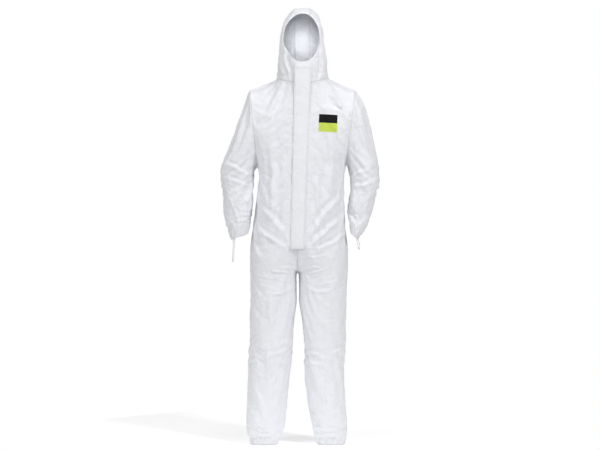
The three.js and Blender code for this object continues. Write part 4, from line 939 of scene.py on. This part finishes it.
THREAD = ribbed_material("thread", (0.66, 0.66, 0.68), 900, 0.7, 0.4, 2)

# ------------------------------------------------------------------ the suit's panels
shell, kinds = build_shell()
plain = shell.data.copy()
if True: settle(shell)
form = bpy.data.objects.new("form", plain); bpy.context.scene.collection.objects.link(form)
subdivided(form, 1); co0, _ = mesh_arrays(form.data); bpy.data.objects.remove(form)
subdivided(shell, 1)
co, no = mesh_arrays(shell.data); S = attribute(shell.data, "spread"); R = attribute(shell.data, "rest")
D, SEAM = fold_offsets(S, R, no)
co = co + no * D[:, None] * MM
# nothing leaves the CAD box by more than the cloth may stand proud
lo, hi = [np.array(v) for v in CAD_BOX]
lo = lo.copy(); hi = hi.copy(); lo[2] += 0.0002
co = np.clip(co, lo - np.array([0.012, 0.010, 0.0]), hi + np.array([0.012, 0.010, 0.004]))
POLYS = [tuple(p.vertices) for p in shell.data.polygons]
MAT = np.zeros(len(POLYS), int); shell.data.polygons.foreach_get("material_index", MAT)
tri = np.array([(p[0], p[i], p[i + 1]) for p in POLYS for i in range(1, len(p) - 1)])
NORMAL = normals_of(co, tri)
bpy.data.objects.remove(shell)

def area_of(verts, polys):
    t = np.array([(p[0], p[i], p[i + 1]) for p in polys for i in range(1, len(p) - 1)])
    a, b, c = verts[t[:, 0]], verts[t[:, 1]], verts[t[:, 2]]
    return float(np.linalg.norm(np.cross(b - a, c - a), axis=1).sum() / 2)

UP_L = beyond("left", S); UP_R = beyond("right", S)
def arm_weight(side, idx):
    """0 on the armhole and 1 along the sleeve, by the angle about the armpit"""
    px_, pz = (190.0, -334.0) if side == "left" else (-175.5, -330.0)
    r = R[idx]; dx = SIDE[side]["sign"] * (r[:, 0] - px_); dz = r[:, 2] - pz
    ang = np.degrees(np.arctan2(dz, dx)); ang = np.where(ang > 120, ang - 360, ang)
    w = sstep(82, -24, ang)
    return w * sstep(0, 34, (UP_L if side == "left" else UP_R)[idx])

FLATS = {"front": (0.27, 0.80), "back": (0.28, 0.80), "hood_centre": (0.07, 0.50), "hood": (0.24, 0.36), "sleeve_upper": (0.50, 0.34),
    "sleeve_lower": (0.40, 0.27), "leg_upper": (0.32, 0.20), "leg_lower": (0.30, 0.49), "crotch_gusset": (0.064, 0.106),
    "cuff_hem": (0.30, 0.044), "ankle_hem": (0.43, 0.027), "face_hem": (0.64, 0.020)}
PIECES = {}
def body_names(n):
    s = "left" if n.endswith("left") else "right"
    return s
for ki, n in enumerate(kinds):
    polys = [POLYS[i] for i in np.nonzero(MAT == ki)[0]]
    hem = "hem" in n
    # the seam distance sets the painted shade along sewn lines in the fabric colour, and the needle-hole bumps
    ob, used = sheet_piece(n + "_sheet", co, NORMAL, polys, 0.0012 if hem else 0.0004, {"seam": SEAM / 60.0}, HEM if hem else FABRIC)
    cut_area = area_of(co0, polys); s = body_names(n); two = np.concatenate([used, used])
    r = R[used]; w = None
    if n.startswith("hood") or n == "face_hem":
        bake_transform(ob)
    elif n.startswith("sleeve_upper"):
        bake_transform(ob); w = arm_weight(s, used)
    elif n.startswith("sleeve_lower"):
        rf = ringField(s, S[used], 7.0)
        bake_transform(ob); w = sstep(-2, -118, rf)
    elif n.startswith("leg_upper"):
        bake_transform(ob)
    elif n.startswith("leg_lower"):
        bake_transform(ob)
    elif n.startswith("cuff_hem"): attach(ob, "forearm_" + s)
    elif n.startswith("ankle_hem"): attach(ob, "shin_" + s)
    else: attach(ob, "root")
    nodes = {"front": ["front_panel_" + s], "back": ["back_panel_" + s], "hood_centre": ["hood_panel_centre", "hood_neck_fabric"], "hood": ["hood_panel_" + s],
        "sleeve_upper": ["shoulder_fabric_" + s, "sleeve_upper_" + s], "sleeve_lower": ["elbow_fabric_" + s, "sleeve_forearm_" + s],
        "leg_upper_front": ["leg_thigh_front_" + s, "hip_fabric_" + s], "leg_upper_back": ["leg_thigh_back_" + s],
        "leg_lower_front": ["leg_shin_front_" + s, "knee_fabric_" + s], "leg_lower_back": ["leg_shin_back_" + s], "crotch_gusset": ["crotch_gusset"],
        "cuff_hem": ["cuff_elastic_" + s], "ankle_hem": ["ankle_elastic_" + s], "face_hem": ["hood_face_elastic"]}
    key = max((k for k in nodes if n.startswith(k)), key=len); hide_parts(*nodes[key])
    fkey = max((k for k in FLATS if n.startswith(k)), key=len); flat = FLATS[fkey]
    PIECES[n] = ob
    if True: print("panel", n, len(used), round(cut_area, 4), flat)

# ------------------------------------------------------------------ small helpers for the trim
from mathutils.bvhtree import BVHTree
def bvh_of(*names):
    V = []; F = []
    for n in names:
        me = PIECES[n].data; k = len(V); V += [v.co.copy() for v in me.vertices]; F += [[i + k for i in p.vertices] for p in me.polygons]
    return BVHTree.FromPolygons(V, F)

def strip(name, P, nu, nv, thick, mat, mat_of=None, mats=None, attrs=None):
    """a closed thin sheet over P(u, v) -> (x, y, z) mm and its outward normal by the grid; thick in mm"""
    G = np.array([[P(i / nu, j / nv) for i in range(nu + 1)] for j in range(nv + 1)], float)
    V = G.reshape(-1, 3); polys = []
    for j in range(nv):
        for i in range(nu):
            a = j * (nu + 1) + i; polys.append((a, a + nu + 1, a + nu + 2, a + 1))
    t = np.array([(p[0], p[i], p[i + 1]) for p in polys for i in (1, 2)]); N = normals_of(V, t)
    ob, used = sheet_piece(name, V * MM, N, polys, thick * MM, attrs(V) if attrs else {}, mat)
    if mats:
        for m in mats: ob.data.materials.append(m)
        idx = [mat_of((k % nu + 0.5) / nu, (k // nu + 0.5) / nv) for k in range(nu * nv)]
        full = np.zeros(len(ob.data.polygons), int); full[:nu * nv] = idx; full[nu * nv:2 * nu * nv] = idx
        ob.data.polygons.foreach_set("material_index", full)
    return ob

def joined(name, parts, mat, bevel=0.0):
    """one mesh object from (verts mm, faces) parts"""
    V = []; F = []
    for v, f in parts: k = len(V); V += list(v); F += [[i + k for i in q] for q in f]
    ob = mesh_object(name, V, F); recalc(ob); ob.data.materials.append(mat)
    if bevel:
        m = ob.modifiers.new("b", "BEVEL"); m.width = bevel * MM; m.segments = 3; m.limit_method = "ANGLE"
        dg = bpy.context.evaluated_depsgraph_get(); me = bpy.data.meshes.new_from_object(ob.evaluated_get(dg)); ob.modifiers.clear(); ob.data = me
    for p in ob.data.polygons: p.use_smooth = bool(bevel)
    return ob

def block(c, size, taper=1.0, ex=(1, 0, 0), ez=(0, 0, 1)):
    ex = Vector(ex).normalized(); ez = Vector(ez).normalized(); ey = ez.cross(ex)
    V = []
    for sz in (-1, 1):
        for sx, sy in ((-1, -1), (1, -1), (1, 1), (-1, 1)):
            k = taper if sz > 0 else 1
            V.append(tuple(Vector(c) + ex * sx * size[0] / 2 * k + ey * sy * size[1] / 2 + ez * sz * size[2] / 2))
    return V, [[0, 3, 2, 1], [4, 5, 6, 7], [0, 1, 5, 4], [1, 2, 6, 5], [2, 3, 7, 6], [3, 0, 4, 7]]

# ------------------------------------------------------------------ the storm flap and its closing tape
def flapHalf(z): return lerp(32.0, 28.0, (68 - z) / 736.0)
def flap_point(u, v):
    z = lerp(68.0, -668.0, v); h = flapHalf(z); x = float(zipX(z)) + lerp(-h, h, u)
    w1 = float(noise3(np.array([[u * 0.8, 0, z / 55.0]]), 51)[0]); w2 = float(noise3(np.array([[u * 2.0, 0, z / 21.0]]), 52)[0])
    free = (1 - u) ** 2
    high = 0.45 + 0.55 * float(ease((z + 120) / 150.0))
    rise = 1.8 + 4.0 * math.sin(math.pi * min(1, 0.16 + 0.84 * (1 - u))) * 0.8 + (0.6 + 2.6 * high) * free * high
    rise += w1 * (0.5 + 1.5 * free) + w2 * (0.25 + 0.5 * free)
    ends = min(1.0, min(v, 1 - v) * 736 / 22.0)
    rise = lerp(min(rise, 3.6), rise, ends)
    if u > 0.86: rise = lerp(rise, 1.3, (u - 0.86) / 0.14)
    x += 0.8 * w1 * free
    return (x, float(zipY(z)) - rise, z)
# distance to the flap's stitch lines; through the fabric's seam ramp it sets painted shade along them, and the
# needle-hole bumps
def flap_seam(V):
    x, y, z = V.T; zx = zipX(z); h = flapHalf(z)
    d = np.minimum(np.minimum(np.abs(np.abs(x - zx) - (h - 4)), np.abs(z - 47.5)), np.minimum(np.abs(z - 43.0), np.abs(z + 660)))
    return {"seam": np.minimum(d, 60) / 60.0 + 0.012}
flap = strip("storm_flap_sheet", flap_point, 26, 300, 1.1, FLAP, attrs=flap_seam)
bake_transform(flap)
fc, _ = mesh_arrays(flap.data)
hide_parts("storm_flap")

def tape_point(u, v):
    z = lerp(-28.0, -658.0, v); h = flapHalf(z); x = float(zipX(z)) - h + lerp(2.0, 13.0, u)
    return (x, float(zipY(z)) - 1.0 - 0.25 * math.sin(math.pi * u), z)
ctape = strip("flap_closing_tape", tape_point, 6, 120, 0.35, CLOSE)
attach(ctape, "root"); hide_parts("flap_adhesive_tape")

# ------------------------------------------------------------------ the zip
for side, sg in (("left", 1), ("right", -1)):
    def tp(u, v, sg=sg):
        z = lerp(62.0, -665.0, v); a, b = (1.4, 15.0) if sg > 0 else (-15.0, -1.4)
        x = float(zipX(z)) + lerp(a, b, u)
        return (x, float(zipY(z)) + 0.9 + 0.25 * math.sin(u * math.pi), z)
    t = strip("zip_tape_" + side + "_woven", tp, 8, 140, 0.7, TAPE)
    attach(t, "root"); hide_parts("zip_tape_" + side)
    parts = []; n = 476
    for i in range(n):
        z = lerp(57.0, -656.0, (i + (0.5 if sg > 0 else 0)) / n); x = float(zipX(z)); y = float(zipY(z)) - 0.35
        pts = [(x + sg * 2.7, y + 0.25, z + 0.45), (x + sg * 0.2, y - 0.55, z), (x - sg * 0.75, y, z), (x + sg * 0.2, y + 0.55, z), (x + sg * 2.7, y - 0.25, z - 0.45)]
        V = []; F = []
        for k, p in enumerate(pts):
            r = 0.33 if k != 2 else 0.42
            for a in range(5):
                ang = a * 2 * math.pi / 5; V.append((p[0], p[1] + r * math.cos(ang), p[2] + r * math.sin(ang)))
        # a bent bead: rings joined in order
        for k in range(len(pts) - 1):
            for a in range(5): F.append([k * 5 + a, k * 5 + (a + 1) % 5, (k + 1) * 5 + (a + 1) % 5, (k + 1) * 5 + a])
        F.append([4, 3, 2, 1, 0]); F.append([20, 21, 22, 23, 24]); parts.append((V, F))
    t = joined("zip_coil_" + side, parts, PLASTIC)
    for p in t.data.polygons: p.use_smooth = True
    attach(t, "root"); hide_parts("zip_teeth_" + side)
EX = (1, 0, 0); UPZ = Vector((22, 8, 733)).normalized()
zb = -661.0
o = joined("zip_stop_bottom", [block((float(zipX(zb)), float(zipY(zb)) - 0.9, zb), (6.4, 2.2, 6.0), 0.9, EX, UPZ)], PLASTIC, 0.6)
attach(o, "root"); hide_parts("zip_bottom_stop")
for side, sg in (("left", 1), ("right", -1)):
    zt = 60.2
    o = joined("zip_stop_top_" + side, [block((float(zipX(zt)) + sg * 1.85, float(zipY(zt)) - 0.9, zt), (2.6, 2.2, 3.0), 0.9, EX, UPZ)], PLASTIC, 0.5)
    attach(o, "root"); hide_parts("zip_top_stop_" + side)
zs = 46.0; cx, cy = float(zipX(zs)), float(zipY(zs))
o = joined("zip_slider_body", [block((cx, cy - 1.9, zs), (7.8, 1.0, 11.5), 0.78, EX, UPZ),
    block((cx, cy - 2.9, zs + 2.9), (2.2, 1.0, 2.4), 0.8, EX, UPZ), block((cx, cy - 2.9, zs - 2.9), (2.2, 1.0, 2.4), 0.8, EX, UPZ), block((cx, cy - 3.5, zs), (2.0, 0.8, 8.0), 0.9, EX, UPZ)], PLASTIC, 0.35)
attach(o, "slider"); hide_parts("zip_slider")
def pull_parts():
    V, F = [], []; cxp = cx - 0.2; top = zs + 1.2; y0 = cy - 4.5
    rings = [(top, 2.2, 0.55), (top - 4, 2.6, 0.6), (top - 12, 2.2, 0.6), (top - 20, 2.9, 0.65), (top - 23, 2.5, 0.6), (top - 24.2, 1.2, 0.4)]
    n = 12
    for z, hw, hd in rings:
        for a in range(n):
            t = 2 * math.pi * a / n
            V.append((cxp + hw * math.copysign(abs(math.cos(t)) ** 0.6, math.cos(t)), y0 + hd * math.copysign(abs(math.sin(t)) ** 0.6, math.sin(t)), z))
    for k in range(len(rings) - 1):
        for a in range(n): F.append([k * n + a, k * n + (a + 1) % n, (k + 1) * n + (a + 1) % n, (k + 1) * n + a])
    F.append(list(range(n))[::-1]); F.append(list(range((len(rings) - 1) * n, len(rings) * n)))
    return V, F
o = joined("zip_pull", [pull_parts()], PLASTIC)
for p in o.data.polygons: p.use_smooth = True
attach(o, "pull"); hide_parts("zip_pull_tab")

# ------------------------------------------------------------------ waist elastic, chest label, finger loops
back = bvh_of("back_left", "back_right")
def waist_point(u, v):
    x = lerp(118.0, -118.0, u); z = lerp(-448.5, -461.5, v)
    hit = back.ray_cast(Vector((x, 0, z)) * MM, Vector((0, 1, 0)))
    y = hit[0].y / MM if hit[0] else 100.0
    return (x, y - 0.5, z)
o = strip("waist_elastic_band", waist_point, 120, 5, 0.9, CORD)
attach(o, "root"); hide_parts("waist_elastic")

frontL = bvh_of("front_left")
TILT = math.radians(2.5)
def label_point(u, v):
    a = lerp(-38.5, 38.5, u); b = lerp(36.0, -36.0, v)
    x = 110.5 + a * math.cos(TILT) * 0.99 + b * math.sin(TILT); z = -173.0 - a * math.sin(TILT) + b * math.cos(TILT)
    hit = frontL.ray_cast(Vector((x * MM, -0.3, z * MM)), Vector((0, 1, 0)))
    y = hit[0].y / MM if hit[0] else -115.0
    return (x, y - 0.9, z)
def label_mat(u, v):
    a = abs(u - 0.5) * 77; b = abs(v - 0.5) * 72
    if a > 36.9 or b > 34.4: return 0
    return 1 if v < 0.493 else 2
o = strip("chest_label_patch", label_point, 48, 45, 0.5, LABEL_WHITE, label_mat, [LABEL_BLACK, LABEL_LIME])
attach(o, "root"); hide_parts("chest_label")

LOOPS = {"right": [(-268, -22, -637.5), (-267, -22, -650), (-268.5, -23, -675), (-269.5, -24, -700), (-270.5, -25, -716), (-268.5, -27, -721.5), (-266.2, -29, -716), (-265, -31, -700), (-263.5, -33, -675), (-261.5, -34.5, -650), (-261, -35, -637.5)],
    "left": [(228.4, -20, -637.5), (230.9, -20, -648), (233.4, -22, -661), (234.4, -24, -669), (235.9, -28, -673), (237.9, -31, -667), (238.4, -33, -654), (235.4, -34.5, -642), (232.4, -35, -636.5)]}
for side, pts in LOOPS.items():
    P = [Vector(p) for p in pts]; P = [P[0] + Vector((0, 1.5, 10))] + P + [P[-1] + Vector((0, -0.5, 10))]
    dense = []
    for i in range(len(P) - 1):
        p0 = P[max(0, i - 1)]; p1 = P[i]; p2 = P[i + 1]; p3 = P[min(len(P) - 1, i + 2)]
        for k in range(5):
            t = k / 5
            dense.append(0.5 * (2 * p1 + (p2 - p0) * t + (2 * p0 - 5 * p1 + 4 * p2 - p3) * t * t + (3 * p1 - p0 - 3 * p2 + p3) * t ** 3))
    dense.append(P[-1])
    cu = bpy.data.curves.new("finger_loop_cord_" + side, "CURVE"); cu.dimensions = "3D"; sp = cu.splines.new("POLY"); sp.points.add(len(dense) - 1)
    for q, p in zip(sp.points, dense): q.co = (p.x * MM, p.y * MM, p.z * MM, 1)
    sp.use_smooth = True; cu.bevel_depth = 0.0013; cu.bevel_resolution = 4; cu.use_fill_caps = True; cu.materials.append(CORD)
    ob = bpy.data.objects.new("finger_loop_cord_" + side, cu); bpy.context.scene.collection.objects.link(ob)
    length = sum((dense[i + 1] - dense[i]).length for i in range(len(dense) - 1)) * MM
    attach(ob, "forearm_" + side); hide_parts("finger_loop_" + side)
    print("loop", side, round(length, 4))

# ------------------------------------------------------------------ floor, light
def area_light(name, loc, target, size, power, colour=(1, 1, 1)):
    l = bpy.data.lights.new(name, "AREA"); l.shape = "DISK"; l.size = size; l.energy = power; l.color = colour
    o = bpy.data.objects.new(name, l); bpy.context.scene.collection.objects.link(o); o.location = loc
    o.rotation_mode = "QUATERNION"; o.rotation_quaternion = (Vector(target) - Vector(loc)).to_track_quat("-Z", "Y")
    return o
fm, nt, b = new_material("pale_floor")
n = node(nt, "ShaderNodeTexNoise"); n.inputs["Scale"].default_value = 3.0
r = ramp(nt, n.outputs[0], [(0.2, (0.93, 0.93, 0.93)), (0.8, (0.95, 0.95, 0.95))]); nt.links.new(r.outputs[0], b.inputs["Base Color"])
b.inputs["Roughness"].default_value = 0.9; b.inputs["Specular IOR Level"].default_value = 0.1
b.inputs["Emission Color"].default_value = (1, 1, 1, 1); b.inputs["Emission Strength"].default_value = 0.30
floor = mesh_object("floor", [(1150 * math.cos(a * math.pi / 48), 1150 * math.sin(a * math.pi / 48), -1453) for a in range(96)], [tuple(range(96))])
floor.data.materials.append(fm)
w = bpy.data.worlds.new("studio"); bpy.context.scene.world = w; w.use_nodes = True; nt = w.node_tree; nt.nodes.clear()
out = nt.nodes.new("ShaderNodeOutputWorld"); b1 = nt.nodes.new("ShaderNodeBackground"); b1.inputs[0].default_value = (1, 1, 1, 1); b1.inputs[1].default_value = 0.41
b2 = nt.nodes.new("ShaderNodeBackground"); b2.inputs[0].default_value = (1, 1, 1, 1); b2.inputs[1].default_value = 1.0
mx = nt.nodes.new("ShaderNodeMixShader"); lp = nt.nodes.new("ShaderNodeLightPath")
nt.links.new(lp.outputs["Is Camera Ray"], mx.inputs[0]); nt.links.new(b1.outputs[0], mx.inputs[1]); nt.links.new(b2.outputs[0], mx.inputs[2]); nt.links.new(mx.outputs[0], out.inputs[0])
area_light("key", (2.1, -2.4, 1.4), (0, 0, -0.5), 0.8, 63)
area_light("top", (-0.3, -0.7, 2.5), (0, 0, -0.5), 1.2, 16)
area_light("fill", (-2.5, -2.2, 0.5), (0, 0, -0.45), 1.2, 33)
area_light("low", (0.0, -3.0, -0.4), (0, 0, -0.4), 1.6, 1.5)
area_light("behind", (0.0, 3.0, 0.8), (0, 0, -0.5), 2.4, 16)
sp = bpy.data.lights.new("hood_inside", "SPOT"); sp.energy = 75; sp.spot_size = math.radians(6.4); sp.spot_blend = 0.55; sp.shadow_soft_size = 0.05
so = bpy.data.objects.new("hood_inside", sp); bpy.context.scene.collection.objects.link(so); so.location = (0.012, -1.4, 0.17); so.rotation_euler = (math.radians(90), 0, 0)
bpy.context.scene.view_settings.view_transform = "Standard"
bpy.context.scene.view_settings.look = "None"
bpy.context.scene.view_settings.exposure = 0.0
